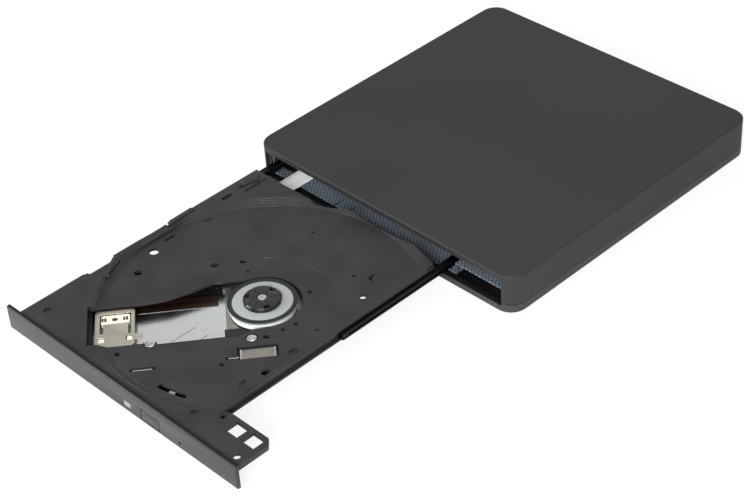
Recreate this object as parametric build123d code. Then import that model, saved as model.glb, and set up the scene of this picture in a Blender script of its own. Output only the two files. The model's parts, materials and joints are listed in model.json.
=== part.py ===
from build123d import *
import math
import os

# External slim disc drive with its tray fully out.
# Millimetres. Z is up from the table, the tray comes out towards -Y, and the
# origin is the centre of the case, at table height.

# Outer case
case_height = 17.4
case_corner = 7.5
side_room = 7.5
rear_room = 15.9
side_wall = 1.8
top_wall = 1.6
floor_wall = 1.6
seam_height = 4.0
seam_gap = 0.1
edge_break = 0.5
lip_wall = 1.1
lip_height = 1.6
lip_gap = 0.2

# Rubber feet
foot_height = 0.8
foot_radius = 5.0
foot_seat_depth = 0.4
foot_inset_x = 14.0
foot_inset_y = 13.0

# Label recess in the middle of the underside
pad_width = 46.0
pad_depth = 30.0
pad_recess = 0.3

# Inner slim drive
drive_width = 128.0
drive_depth = 129.2
drive_height = 9.5
sheet = 0.5
top_sheet = 0.4
post_height = 2.5
wing_floor_height = 5.0
wing_floor_gap = 3.2

# Bezel and its opening in the case
bezel_past_left = 2.4
bezel_past_right = 1.0
bezel_height = 10.6
bezel_thickness = 1.6
bezel_drop = 0.9
bezel_gap = 0.4
bezel_gap_above = 0.9
bezel_gap_below = 0.3
front_gap = 0.3

# Tray and its travel
tray_past_case = 3.6
tray_rear_gap = 0.7
tray_rear_step = 6.1
tray_width = 99.0
tray_below_top = 1.2
recess_depth = 1.8
tray_floor = 1.2
tray_wall = 1.2
tray_left_gap = 1.9
wing_depth = 16.8
wing_plate = 1.2
wing_skirt = 1.1
wing_corner = 2.5
window_size = 5.8
spindle_from_left = 64.65
spindle_from_front = 67.1

# Disc and its seat
disc_radius = 60.0
disc_hole_radius = 7.5
recess_floor_radius = 61.0
recess_rim_radius = 64.6
turntable_radius = 13.65
turntable_hole_gap = 1.65

# Rails
rail_width = 2.8
rail_height = 2.6
rail_shortfall = 11.2
rail_bottom_height = 3.7
rail_gap = 0.2
rail_side_gap = 0.3
rail_overlap = 48.9
guide_flange = 0.6
groove_flange = 0.8

# Optical pickup, measured outwards from the spindle
pickup_angle = 230.7
pickup_inner = 48.5
pickup_length = 15.0
pickup_left = 5.4
pickup_right = 16.2
lens_distance = 56.0
sled_travel = 33.0
guide_rod_radius = 0.8
rod_left = -19.5
rod_right = 17.6
screw_line = 30.5
screw_radius = 1.0
screw_pitch = 3.0
slide_gap = 0.1
body_gap = 0.3

# Levels, all worked out from the sizes above
case_base = foot_height
case_top = case_base + case_height
seam = case_base + seam_height
floor_top = case_base + floor_wall
drive_base = floor_top + post_height
drive_top = drive_base + drive_height
chassis_floor = drive_base + sheet
lid_underside = drive_top - top_sheet
wing_floor = drive_base + wing_floor_height
wing_floor_top = wing_floor + sheet
tray_top = lid_underside + top_sheet - tray_below_top
recess_floor = tray_top - recess_depth
tray_under = recess_floor - tray_floor
tray_bottom = chassis_floor + 0.6
shield_top = tray_bottom + 0.3
bezel_bottom = drive_base - bezel_drop
bezel_top = bezel_bottom + bezel_height

# Places along X and Y
case_width = drive_width + 2 * side_room
case_depth = bezel_thickness + front_gap + drive_depth + rear_room
case_front = -case_depth / 2
case_rear = case_depth / 2
case_side = case_width / 2
drive_left = -drive_width / 2
drive_right = drive_width / 2
drive_front = case_front + bezel_thickness + front_gap
drive_rear = drive_front + drive_depth
bezel_left = drive_left - bezel_past_left
bezel_right = drive_right + bezel_past_right
tray_left_edge = drive_left + tray_left_gap
tray_right_edge = tray_left_edge + tray_width
wing_right = drive_right + 0.1
wing_floor_left = tray_right_edge + wing_floor_gap
wing_back_left = wing_floor_left + 2.2
spindle_x = tray_left_edge + spindle_from_left
tray_depth = drive_depth - tray_rear_gap
tray_left_depth = tray_depth - tray_rear_step
tray_travel = drive_depth + tray_past_case
rail_length = drive_depth - rail_shortfall
bezel_front = case_front - tray_travel
tray_front = bezel_front + bezel_thickness
tray_rear = tray_front + tray_depth
tray_left_rear = tray_front + tray_left_depth
spindle_y = tray_front + spindle_from_front
wing_back = tray_front + wing_depth
rail_bottom = drive_base + rail_bottom_height
rail_top = rail_bottom + rail_height
rail_front = tray_left_rear - rail_overlap
left_rail_outer = drive_left + sheet + 0.5 + 0.25
right_rail_outer = wing_floor_left - 0.4 - 0.25

os.makedirs("parts", exist_ok=True)


def block(x0, x1, y0, y1, z0, z1):
    """A box between two corners."""
    middle = Pos((x0 + x1) / 2, (y0 + y1) / 2, (z0 + z1) / 2)
    return middle * Box(x1 - x0, y1 - y0, z1 - z0)


def post(x, y, radius, z0, z1):
    """An upright cylinder."""
    return Pos(x, y, (z0 + z1) / 2) * Cylinder(radius, z1 - z0)


def plate(points, z0, z1):
    """A flat plate with a polygon outline."""
    outline = make_face(Polyline(*points, close=True))
    return Pos(0, 0, z0) * extrude(outline, z1 - z0, dir=(0, 0, 1))


def rounded_plate(width, depth, corner, z0, z1, x=0.0, y=0.0):
    """A plate with rounded upright corners."""
    return Pos(x, y, z0) * extrude(RectangleRounded(width, depth, corner), z1 - z0)


def from_spindle(outward, across, z=0.0):
    """The place at a distance outwards and across from the spindle."""
    return Pos(spindle_x, spindle_y, z) * Rot(0, 0, pickup_angle) * Pos(outward, across, 0)


def sled_block(u0, u1, w0, w1, z0, z1):
    """A box turned to the pickup's line of travel."""
    return from_spindle((u0 + u1) / 2, (w0 + w1) / 2, (z0 + z1) / 2) * Box(u1 - u0, w1 - w0, z1 - z0)


def sled_plate(points, z0, z1):
    """A flat plate whose outline is given along and across the pickup's travel."""
    outline = make_face(Polyline(*points, close=True))
    return from_spindle(0, 0, z0) * extrude(outline, z1 - z0, dir=(0, 0, 1))


def sled_post(outward, across, radius, z0, z1):
    """An upright cylinder placed from the spindle."""
    return from_spindle(outward, across, (z0 + z1) / 2) * Cylinder(radius, z1 - z0)


def sled_rod(u0, u1, across, z, radius):
    """A round bar along the pickup's line of travel."""
    return from_spindle((u0 + u1) / 2, across, z) * Rot(0, 90, 0) * Cylinder(radius, u1 - u0)


def save(name, shape):
    """Write one node's STEP file."""
    export_step(Compound(children=list(shape.solids())), f"parts/{name}.step")


# Screw places
front_screw_x = case_side - side_wall - 2.8
front_screw_y = case_front + 15.5
rear_screw_x = case_side - 9.5
rear_screw_y = case_rear - 7.5
cover_screws = [
    (-front_screw_x, front_screw_y),
    (front_screw_x, front_screw_y),
    (-rear_screw_x, rear_screw_y),
    (rear_screw_x, rear_screw_y),
]
cover_boss_radius = 2.1
cover_head_radius = 1.8
cover_head_height = 0.8
cover_thread_radius = 0.8
cover_hole_radius = 1.1

chassis_screws = [
    (drive_left + 20.0, drive_front + 12.0),
    (wing_floor_left - 10.0, drive_front + 12.0),
    (drive_left + 20.0, drive_rear - 12.0),
    (wing_floor_left - 10.0, drive_rear - 12.0),
]
chassis_post_radius = 3.0
wing_posts = [
    (drive_right - 9.0, drive_front + 30.0),
    (drive_right - 9.0, drive_rear - 25.0),
]

# Rear electronics
board_thickness = 1.2
bridge_board_right = case_side - 14.5
bridge_board_width = 69.0
bridge_board_left = bridge_board_right - bridge_board_width
bridge_board_front = drive_rear + 1.2
bridge_board_rear = case_rear - side_wall - lip_gap - lip_wall - 0.3
bridge_board_base = floor_top + 3.6
bridge_board_top = bridge_board_base + board_thickness
socket_width = 9.0
socket_height = 3.2
socket_depth = 7.4
socket_wall = 0.35
socket_base = bridge_board_top
wing_room = drive_right - wing_floor_left
connector_x = wing_floor_left + wing_room / 2
connector_width = wing_room / 2
socket_from_connector = 22.0
socket_x = connector_x - socket_from_connector

# Latch
latch_post_x = tray_right_edge - 3.3
latch_post_radius = 0.9
latch_post_from_front = 9.4
latch_post_y = drive_front + latch_post_from_front
latch_post_top = chassis_floor + 3.0

# Bezel details
button_left = spindle_x + 10.75
button_width = 9.9
button_height = 4.6
button_bottom = bezel_bottom + 1.4
button_gap = 0.35
button_travel = 0.6
led_left = spindle_x + 0.75
led_width = 3.8
led_height = 2.5
led_bottom = bezel_bottom + 2.1
pinhole_x = spindle_x + 31.85
pinhole_radius = 0.6
pinhole_z = bezel_bottom + 2.7


def make_top_cover():
    inner_height = case_top - top_wall
    cover = rounded_plate(case_width, case_depth, case_corner, seam, case_top)
    cover = chamfer(cover.faces().sort_by(Axis.Z)[-1].edges(), edge_break)
    inner_corner = case_corner - side_wall
    room = rounded_plate(case_width - 2 * side_wall, case_depth - 2 * side_wall, inner_corner,
                         seam - 1, inner_height)
    cover -= room
    for x, y in cover_screws:
        cover += post(x, y, cover_boss_radius, seam + 0.4, inner_height)
    cover -= block(bezel_left - bezel_gap, bezel_right + bezel_gap, case_front - 1,
                   case_front + side_wall + 0.01, seam - 1, bezel_top + bezel_gap_above)
    cover -= block(socket_x - socket_width / 2 - 0.3, socket_x + socket_width / 2 + 0.3,
                   case_rear - side_wall - 1, case_rear + 1, socket_base - 0.3,
                   socket_base + socket_height + 0.3)
    for x, y in cover_screws:
        cover -= post(x, y, cover_thread_radius, seam, inner_height - 2)
    return cover


def make_bottom_cover():
    cover = rounded_plate(case_width, case_depth, case_corner, case_base, seam - seam_gap)
    cover = chamfer(cover.faces().sort_by(Axis.Z)[0].edges(), edge_break)
    inner_corner = case_corner - side_wall
    inner_width = case_width - 2 * side_wall
    inner_depth = case_depth - 2 * side_wall
    cover -= rounded_plate(inner_width, inner_depth, inner_corner, floor_top, seam + 1)
    lip_top = seam + lip_height
    lip_corner = inner_corner - lip_gap
    lip = rounded_plate(inner_width - 2 * lip_gap, inner_depth - 2 * lip_gap, lip_corner, floor_top,
                        lip_top)
    lip_room = rounded_plate(inner_width - 2 * lip_gap - 2 * lip_wall,
                             inner_depth - 2 * lip_gap - 2 * lip_wall,
                             lip_corner - lip_wall, floor_top - 1, lip_top + 1)
    lip -= lip_room
    foot_of_lip = rounded_plate(inner_width + 0.2, inner_depth + 0.2, inner_corner, floor_top, seam - 0.6)
    foot_of_lip -= lip_room
    cover += lip + foot_of_lip
    cover -= block(bezel_left - bezel_gap, bezel_right + bezel_gap, case_front - 1, drive_front + 2.5,
                   bezel_bottom - bezel_gap_below, lip_top + 1)
    for x, y in cover_screws:
        cover -= post(x, y, cover_boss_radius + lip_gap, seam, lip_top + 1)
        cover += post(x, y, cover_boss_radius, floor_top - 0.1, seam - seam_gap)
    for x, y in chassis_screws:
        cover += post(x, y, chassis_post_radius, floor_top - 0.1, drive_base)
    for x, y in wing_posts:
        cover += post(x, y, chassis_post_radius, floor_top - 0.1, wing_floor)
    for x in (bridge_board_left + 6, bridge_board_right - 6):
        cover += block(x - 2, x + 2, bridge_board_front, bridge_board_rear - 2, floor_top - 0.1,
                       bridge_board_base)
    for x, y in cover_screws + chassis_screws:
        cover -= post(x, y, cover_hole_radius, case_base - 1, drive_base + 1)
        cover -= post(x, y, cover_head_radius + 0.2, case_base - 1, case_base + cover_head_height + 0.1)
    for x, y in foot_places():
        cover -= post(x, y, foot_radius + 0.1, case_base - 1, case_base + foot_seat_depth)
    cover -= rounded_plate(pad_width, pad_depth, 3.0, case_base - 1, case_base + pad_recess)
    return cover


def foot_places():
    x = case_side - foot_inset_x
    y = case_depth / 2 - foot_inset_y
    return [(sx * x, sy * y) for sx in (-1, 1) for sy in (-1, 1)]


def make_rubber_feet():
    feet = Part()
    for x, y in foot_places():
        foot = post(x, y, foot_radius, 0, case_base + foot_seat_depth)
        feet += fillet(foot.edges().sort_by(Axis.Z)[0], 0.4)
    return feet


def countersunk_screws(places, base, length):
    screws = Part()
    for x, y in places:
        screw = post(x, y, cover_head_radius, base, base + cover_head_height)
        screw += post(x, y, cover_thread_radius, base, base + length)
        for turn in (0, 90):
            screw -= Pos(x, y, base) * Rot(0, 0, turn) * Box(2.2, 0.5, 0.8)
        screws += screw
    return screws


def make_drive_chassis():
    """Pressed steel pan with a raised floor on the right."""
    pan = block(drive_left, wing_floor_left, drive_front, drive_rear, drive_base, chassis_floor)
    pan += block(wing_floor_left, wing_floor_left + sheet, drive_front, drive_rear, drive_base,
                 wing_floor_top)
    pan += block(wing_floor_left, drive_right, drive_front, drive_rear, wing_floor, wing_floor_top)
    pan += block(drive_left, drive_left + sheet, drive_front, drive_rear, drive_base, lid_underside)
    pan += block(drive_right - sheet, drive_right, drive_front + wing_depth + 0.6, drive_rear,
                 wing_floor, lid_underside)
    pan += block(drive_left, wing_floor_left + sheet, drive_rear - sheet, drive_rear, drive_base,
                 lid_underside)
    pan += block(wing_floor_left, drive_right, drive_rear - sheet, drive_rear, wing_floor, lid_underside)
    pan -= block(connector_x - connector_width / 2 - 1.5, connector_x + connector_width / 2 + 1.5,
                 drive_rear - 2, drive_rear + 1, wing_floor_top + 0.2, lid_underside + 1)
    for x, y in chassis_screws:
        pan -= post(x, y, cover_thread_radius, drive_base - 1, chassis_floor + 1)
    # Stiffening beads pressed up from the floor beside the tray's path
    for x in (drive_left + 26, wing_floor_left - 24):
        pan += block(x - 2.0, x + 2.0, drive_front + 20, drive_rear - 20, chassis_floor - 0.1,
                     chassis_floor + 0.25)
    # Pressed stop tab at the front edge
    tab_x = drive_left + 40.0
    pan -= block(tab_x - 4, tab_x - 3.4, drive_front - 1, drive_front + 5, drive_base - 1,
                 chassis_floor + 1)
    pan -= block(tab_x + 3.4, tab_x + 4, drive_front - 1, drive_front + 5, drive_base - 1,
                 chassis_floor + 1)
    return pan


def make_drive_top_plate():
    lid = block(drive_left, drive_right, drive_front, drive_rear, lid_underside, drive_top)
    bead = post(spindle_x, spindle_y + tray_travel, 52.0, drive_top - 0.1, drive_top + 0.3)
    bead -= post(spindle_x, spindle_y + tray_travel, 49.0, drive_top - 1, drive_top + 1)
    lid += bead & block(drive_left + 4, drive_right - 4, drive_front + 4, drive_rear - 4,
                        drive_top - 1, drive_top + 1)
    return lid


def rail_groove(x_out, x_in, y0, y1):
    """The room that a rail needs in its guide or groove."""
    return block(min(x_out, x_in), max(x_out, x_in), y0, y1, rail_bottom - rail_gap, rail_top + rail_gap)


def make_left_rail_guide():
    outer = drive_left + sheet
    inner = left_rail_outer + rail_width / 2 - rail_side_gap / 2 - 0.5
    guide = block(outer, inner, drive_front + 0.6, drive_rear - sheet - 0.2,
                  rail_bottom - groove_flange - rail_gap, rail_top + rail_gap + guide_flange)
    guide -= rail_groove(left_rail_outer - 0.25, inner + 1, drive_front, drive_rear)
    return guide


def make_right_rail_guide():
    outer = wing_floor_left
    inner = right_rail_outer - rail_width / 2 + rail_side_gap / 2 - 0.1
    guide = block(inner, outer, drive_front + wing_depth + 0.4, drive_rear - sheet - 0.2,
                  rail_bottom - groove_flange - rail_gap, rail_top + rail_gap + guide_flange)
    guide -= rail_groove(inner - 1, right_rail_outer + 0.25, drive_front, drive_rear)
    return guide


def make_rail(outer, side):
    """A flat steel rail with a turned-in stop at its front end."""
    inner = outer + side * rail_width
    x0 = min(outer, inner)
    x1 = max(outer, inner)
    rail = block(x0, x1, rail_front, rail_front + rail_length, rail_bottom, rail_top)
    rail = chamfer(rail.edges().filter_by(Axis.Z), 0.5)
    middle = (rail_bottom + rail_top) / 2
    for groove_side in (x0, x1):
        rail -= block(groove_side - 0.4, groove_side + 0.4, rail_front + 3, rail_front + rail_length - 3,
                      middle - 0.5, middle + 0.5)
    return rail


def slot_outline():
    """The pickup's slot, along and across its travel."""
    hole = turntable_radius + turntable_hole_gap
    slot_end = pickup_inner + pickup_length + 2.5
    right = pickup_right + 2.8
    return [
        (0, hole), (4.3, hole + 0.4), (7.3, hole + 2.2), (10.2, right), (40.2, right),
        (40.2, pickup_right + 0.4), (45.2, pickup_right + 0.4), (45.2, pickup_right + 1.0),
        (slot_end, pickup_right + 1.0), (slot_end, -pickup_left - 0.9), (47.6, -pickup_left - 0.9),
        (36.0, -7.6), (25.4, -11.5), (18.3, -14.6), (6.4, -14.6), (0, -hole),
    ]


damper_places = [(42.7, 17.7), (5.1, 20.5), (17.5, -25.8)]
damper_head_radius = 1.9
damper_shank_radius = 0.75
damper_ledge = 0.55
tray_bosses = [
    (tray_left_edge + 9.0, tray_front + 6.5),
    (spindle_x + 6.35, tray_front + 6.5),
    (tray_left_edge + 20.0, tray_left_rear - 12.0),
    (tray_right_edge - 9.0, tray_left_rear - 12.0),
]
tray_boss_radius = 2.4
rim_slope = recess_rim_radius - recess_floor_radius
motor_inner = -3.5
motor_outer = 9.8
motor_line = 28.5
motor_width = 5.8
motor_top = recess_floor - 0.8
screw_inner = motor_outer + 0.4
screw_outer = 49.5
screw_z = shield_top + 1.8
tray_groove_left = left_rail_outer + rail_width + rail_gap
tray_groove_right = right_rail_outer - rail_width - rail_gap


def tray_outline():
    """The tray's outline seen from above, with the wing behind the bezel's right end."""
    left = tray_left_edge
    right = tray_right_edge
    return [
        (left + 1.2, tray_front), (left + 1.2, tray_front + 30.9), (left + 3.0, tray_front + 33.2),
        (left + 3.0, tray_front + 46.2), (left + 0.5, tray_front + 46.2),
        (left + 0.5, tray_left_rear - 49.2), (left + 1.9, tray_left_rear - 48.2),
        (left + 1.9, tray_left_rear - 35.2), (left, tray_left_rear - 35.2),
        (left, tray_left_rear), (spindle_x - 28.5, tray_left_rear), (spindle_x - 16.0, tray_rear),
        (right - 14.0, tray_rear), (right, tray_rear - 3.6), (right, wing_back),
        (wing_right - wing_corner, wing_back),
        (wing_right, wing_back - wing_corner), (wing_right, tray_front),
    ]


# Small round holes through the tray: right of the spindle, from the tray's front, radius
tray_holes = [
    (-55.8, 59.8, 2.0), (-30.9, 69.9, 1.5), (-18.1, 75.9, 0.7), (-17.2, 109.6, 0.7), (9.1, 83.1, 0.9),
    (19.1, 66.7, 0.9), (17.9, 61.2, 0.8), (27.8, 69.5, 0.8), (30.7, 40.7, 1.9), (14.9, 100.8, 0.8),
    (26.4, 94.3, 1.4), (15.6, 32.9, 1.0), (38.7, 13.7, 1.4), (57.5, 3.4, 1.4), (-49.9, 47.0, 1.6),
]

# Rectangular holes through the tray: right of the spindle, from the front, across, along, turn
tray_slots = [
    (-57.8, 69.6, 1.5, 5.0, 0.0), (-59.5, 101.6, 1.6, 5.2, 0.0), (-24.4, 78.8, 2.4, 2.0, 38.0),
    (16.3, 54.4, 2.4, 2.0, 38.0), (28.6, 31.3, 1.3, 3.4, 0.0), (-17.8, 11.0, 2.0, 2.0, 0.0),
    (-55.5, 87.5, 1.2, 3.6, -24.0), (20.2, 105.0, 1.0, 3.4, 0.0), (21.1, 103.8, 2.4, 1.0, 0.0),
]

# Shallow dimples in the tray's top: right of the spindle, from the front, radius
tray_dimples = [
    (-56.4, 8.2, 1.5), (30.3, 55.1, 1.9), (29.6, 8.3, 1.5),
]


def make_tray():
    body = plate(tray_outline(), tray_under, tray_top)
    dish = Pos(spindle_x, spindle_y, recess_floor + recess_depth / 2)
    dish *= Cone(recess_floor_radius, recess_rim_radius, recess_depth)
    body -= dish
    body = hollow_wing(body)
    body += side_blocks()
    body += block(tray_left_edge + 1.2, tray_right_edge, tray_front, tray_front + tray_wall,
                  tray_bottom, tray_top)
    for x, y in tray_bosses:
        body += post(x, y, tray_boss_radius, shield_top, tray_under + 0.1)
        body -= post(x, y, 0.8, shield_top - 1, tray_under - 1)
    body += underside_ribs()
    body = cut_rail_grooves(body)
    body += disc_lip()
    return cut_tray_holes(body)


def hollow_wing(body):
    """The wing is a thin plate with a skirt, and steps over the rail."""
    body -= block(tray_right_edge + 0.7, wing_right + 1, tray_front + tray_wall, wing_back + 1,
                  tray_under - 1, tray_top - wing_plate)
    skirt_bottom = tray_top - wing_plate - wing_skirt
    right = wing_right
    outer = [(wing_back_left, tray_front + 0.1), (right, tray_front + 0.1),
             (right, wing_back - wing_corner), (right - wing_corner, wing_back),
             (wing_back_left, wing_back)]
    skirt = plate(outer, skirt_bottom, tray_top - wing_plate + 0.1)
    skirt -= block(wing_back_left + tray_wall, right - tray_wall, tray_front + tray_wall,
                   wing_back - tray_wall, skirt_bottom - 1, tray_top - wing_plate)
    body += skirt
    body -= block(tray_right_edge, wing_right + 1, tray_front - 1, wing_back + 1, tray_under - 1,
                  skirt_bottom)
    return body


def side_blocks():
    """Blocks under the plate that the rails run in."""
    low = rail_bottom - rail_gap - groove_flange
    left_out = left_rail_outer + rail_width / 2 - rail_side_gap / 2 + 0.1
    left = block(left_out, tray_groove_left + 1.4, tray_front + tray_wall - 0.1, tray_left_rear, low,
                 tray_top - 0.9)
    right_out = right_rail_outer - rail_width / 2 + rail_side_gap / 2 - 0.4
    right = block(tray_groove_right - 1.2, right_out, tray_front + tray_wall - 0.1, tray_rear - 4.2, low,
                  rail_top + rail_gap + groove_flange)
    return left + right


def underside_ribs():
    """Ribs that hold the tray board and stiffen the rear edge."""
    low = tray_under - 1.6
    left = tray_groove_left + 1
    right = tray_board_right + 4
    front = tray_left_rear - 20.0
    rear = tray_left_rear - 7.0
    ribs = block(left, right, front, front + 1.0, low, tray_under + 0.1)
    ribs += block(left, tray_groove_right - 1, rear, rear + 1.0, low, tray_under + 0.1)
    ribs += block(right - 1.0, right, front, tray_left_rear - 1.0, low, tray_under + 0.1)
    return ribs


def cut_rail_grooves(body):
    front = tray_front + tray_wall + 4.0
    body -= rail_groove(tray_left_edge - 2, tray_groove_left, front, tray_rear + 1)
    body -= rail_groove(tray_groove_right, right_rail_outer + 1, front, tray_rear + 1)
    # Room over the fixed guides
    roof = rail_top + rail_gap + guide_flange + body_gap
    guide_edge = left_rail_outer + rail_width / 2 - rail_side_gap / 2 - 0.5 + body_gap
    body -= block(tray_left_edge - 2, guide_edge, tray_front + tray_wall, tray_rear + 1,
                  tray_bottom - 1, roof)
    # Waist and window in the left edge, which show the rail
    waist = tray_left_edge + 3.0
    body -= block(tray_left_edge - 2, waist, tray_front + 33.2, tray_front + 46.2, tray_bottom - 1,
                  tray_top + 1)
    window = tray_left_edge + 1.9
    body -= block(tray_left_edge - 2, window, tray_left_rear - 49.2, tray_left_rear - 35.2,
                  rail_bottom - rail_gap, tray_top + 1)
    return body


def ring_piece(inner, outer, z0, z1, start, end):
    """Part of a ring about the spindle between two angles."""
    ring = post(spindle_x, spindle_y, outer, z0, z1) - post(spindle_x, spindle_y, inner, z0 - 1, z1 + 1)
    reach = outer + 20
    steps = [start + (end - start) * i / 3 for i in range(4)]
    wedge = [(spindle_x, spindle_y)]
    wedge += [(spindle_x + reach * math.cos(math.radians(a)), spindle_y + reach * math.sin(math.radians(a)))
              for a in steps]
    return ring & plate(wedge, z0 - 1, z1 + 1)


def disc_lip():
    """Raised lip on the recess's left rim, higher at its end, that keeps an upright disc in."""
    high = ring_piece(recess_rim_radius - 1.5, recess_rim_radius - 0.2, recess_floor, tray_top + 0.4,
                      199.5, 207.0)
    low = ring_piece(recess_rim_radius - 1.4, recess_rim_radius - 0.4, recess_floor, tray_top - 0.3,
                     206.0, 226.0)
    return high + low


def cut_tray_holes(body):
    hole = turntable_radius + turntable_hole_gap
    deep = shield_top - 1
    body -= post(spindle_x, spindle_y, hole, deep, tray_top + 1)
    body -= sled_plate(slot_outline(), deep, tray_top + 1)
    for u, w in damper_places[:2]:
        body -= sled_post(u, w, damper_head_radius + 0.5, tray_under + damper_ledge, tray_top + 1)
        body -= sled_post(u, w, damper_shank_radius + 0.15, deep, tray_top + 1)
    for x, y, radius in tray_holes:
        body -= post(spindle_x + x, tray_front + y, radius, deep, tray_top + 1)
    for x, y, across, along, turn in tray_slots:
        body -= Pos(spindle_x + x, tray_front + y, tray_top) * Rot(0, 0, turn) * Box(across, along, 8)
    for x, y, radius in tray_dimples:
        level = tray_top if math.hypot(x, y - spindle_from_front) > recess_rim_radius else recess_floor
        body -= post(spindle_x + x, tray_front + y, radius, level - 0.7, tray_top + 1)
    for x in (wing_right - 13.9, wing_right - 5.4):
        middle = wing_back - 1.4 - window_size / 2
        body -= block(x - window_size / 2, x + window_size / 2, middle - window_size / 2,
                      middle + window_size / 2, deep, tray_top + 1)
    # Window over the sled motor, with a narrow end, and one over the lead screw's outer bearing
    body -= sled_block(motor_inner - 1.0, motor_outer + 0.9, motor_line - motor_width / 2 - 0.7,
                       motor_line + motor_width / 2 + 0.6, deep, tray_top + 1)
    body -= sled_block(motor_outer, motor_outer + 5.2, screw_line - 0.6, screw_line + 1.0, deep,
                       tray_top + 1)
    body -= sled_block(40.6, screw_outer + 0.6, screw_line + 0.2, screw_line + 1.9, deep, tray_top + 1)
    # Curved slot over the tray board's ribbon
    body -= ring_piece(56.4, 58.6, deep, tray_top + 1, 277.0, 289.5)
    # Springy tongue for the rail's rear stop
    for x in (tray_left_edge + 3.9, tray_left_edge + 7.6):
        body -= block(x, x + 0.7, tray_left_rear - 13.6, tray_left_rear - 2.0, recess_floor, tray_top + 1)
    # Front wall windows for the button, lamp and release pin
    body -= block(button_left - 0.6, button_left + button_width + 0.6, tray_front - 1,
                  tray_front + tray_wall + 0.1, button_bottom - 0.6, button_bottom + button_height + 0.3)
    body -= block(led_left - 0.2, led_left + led_width + 0.2, tray_front - 1, tray_front + tray_wall + 0.1,
                  led_bottom - 0.2, led_bottom + led_height + 0.2)
    body -= Pos(pinhole_x, tray_front, pinhole_z) * Rot(90, 0, 0) * Cylinder(1.0, 6)
    return body


def make_front_bezel():
    bezel = block(bezel_left, bezel_right, bezel_front, tray_front, bezel_bottom, bezel_top)
    bezel = chamfer(bezel.faces().sort_by(Axis.Y)[0].edges(), 0.35)
    bezel -= block(button_left - button_gap, button_left + button_width + button_gap, bezel_front - 1,
                   tray_front + 1, button_bottom - button_gap, button_bottom + button_height + button_gap)
    bezel -= block(led_left, led_left + led_width, bezel_front - 1, tray_front + 1, led_bottom,
                   led_bottom + led_height)
    bezel -= Pos(pinhole_x, bezel_front, pinhole_z) * Rot(90, 0, 0) * Cylinder(pinhole_radius, 6)
    # Hooks that snap under the tray's front wall
    for x in (tray_left_edge + 7.0, spindle_x - 24.5, tray_right_edge - 3.0):
        bezel += block(x - 3, x + 3, tray_front - 0.1, tray_front + tray_wall + 0.6, tray_bottom - 0.3,
                       tray_bottom)
    return bezel


def make_eject_button():
    button = block(button_left, button_left + button_width, bezel_front + 0.05, tray_front + 0.9,
                   button_bottom, button_bottom + button_height)
    button = fillet(button.edges().filter_by(Axis.Y), 0.7)
    return button


def make_eject_switch():
    middle = button_left + button_width / 2
    wall = tray_front + tray_wall
    level = shield_top + 0.3
    switch = block(middle - 3, middle + 3, wall + 1.6, wall + 3.4, level, tray_under)
    button_end = tray_front + 0.9
    switch += block(middle - 1, middle + 1, button_end + button_travel + 0.1, wall + 1.7, level + 0.4,
                    tray_under - 0.6)
    return switch


def make_led_lens():
    lens = block(led_left + 0.05, led_left + led_width - 0.05, bezel_front + 0.1,
                 tray_front + tray_wall + 0.2, led_bottom + 0.05, led_bottom + led_height - 0.05)
    return lens


def make_tray_shield():
    """Thin plate under the tray, with open corners under two of the tray's holes."""
    left = tray_groove_left + 1.8
    right = latch_post_x - latch_post_radius - 1.4
    front = tray_front + tray_wall + 0.3
    rear = tray_left_rear - 4.0
    outline = [
        (left, front), (right, front), (right, tray_front + 88.0), (right - 11.5, tray_front + 91.0),
        (right - 11.5, tray_front + 103.0), (right, tray_front + 106.0), (right, rear), (left, rear),
        (left, tray_front + 75.0), (left + 8.0, tray_front + 73.0), (left + 8.0, tray_front + 57.0),
        (left, tray_front + 55.0),
    ]
    shield = plate(outline, tray_bottom, shield_top)
    for x, y in tray_bosses:
        shield -= post(x, y, 1.7, tray_bottom - 1, shield_top + 1)
    return shield


def make_tray_screws():
    screws = Part()
    for x, y in tray_bosses:
        screw = post(x, y, 1.5, tray_bottom, shield_top) + post(x, y, 0.75, tray_bottom, shield_top + 2.4)
        screw -= Pos(x, y, tray_bottom) * Box(1.8, 0.4, 0.3)
        screws += screw
    return screws


frame_outline = [(-18, -22), (-6, -28), (60, -26), (67, -20), (66, 14), (54, 34.5), (-5, 33), (-18, 20)]
frame_top = tray_under - 0.4
deck_bottom = frame_top - 0.6
frame_bottom = shield_top + 0.7
rod_z = frame_bottom + 0.9
sled_bottom = shield_top + 0.5
window_left = rod_left - 2.0
sled_window_inner = pickup_inner - sled_travel - 0.5
sled_window_outer = pickup_inner + pickup_length + 1.2
arm_inner = 43.7
arm_length = 3.9
arm_height = 1.5
arm_bottom = shield_top + 0.25


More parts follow.
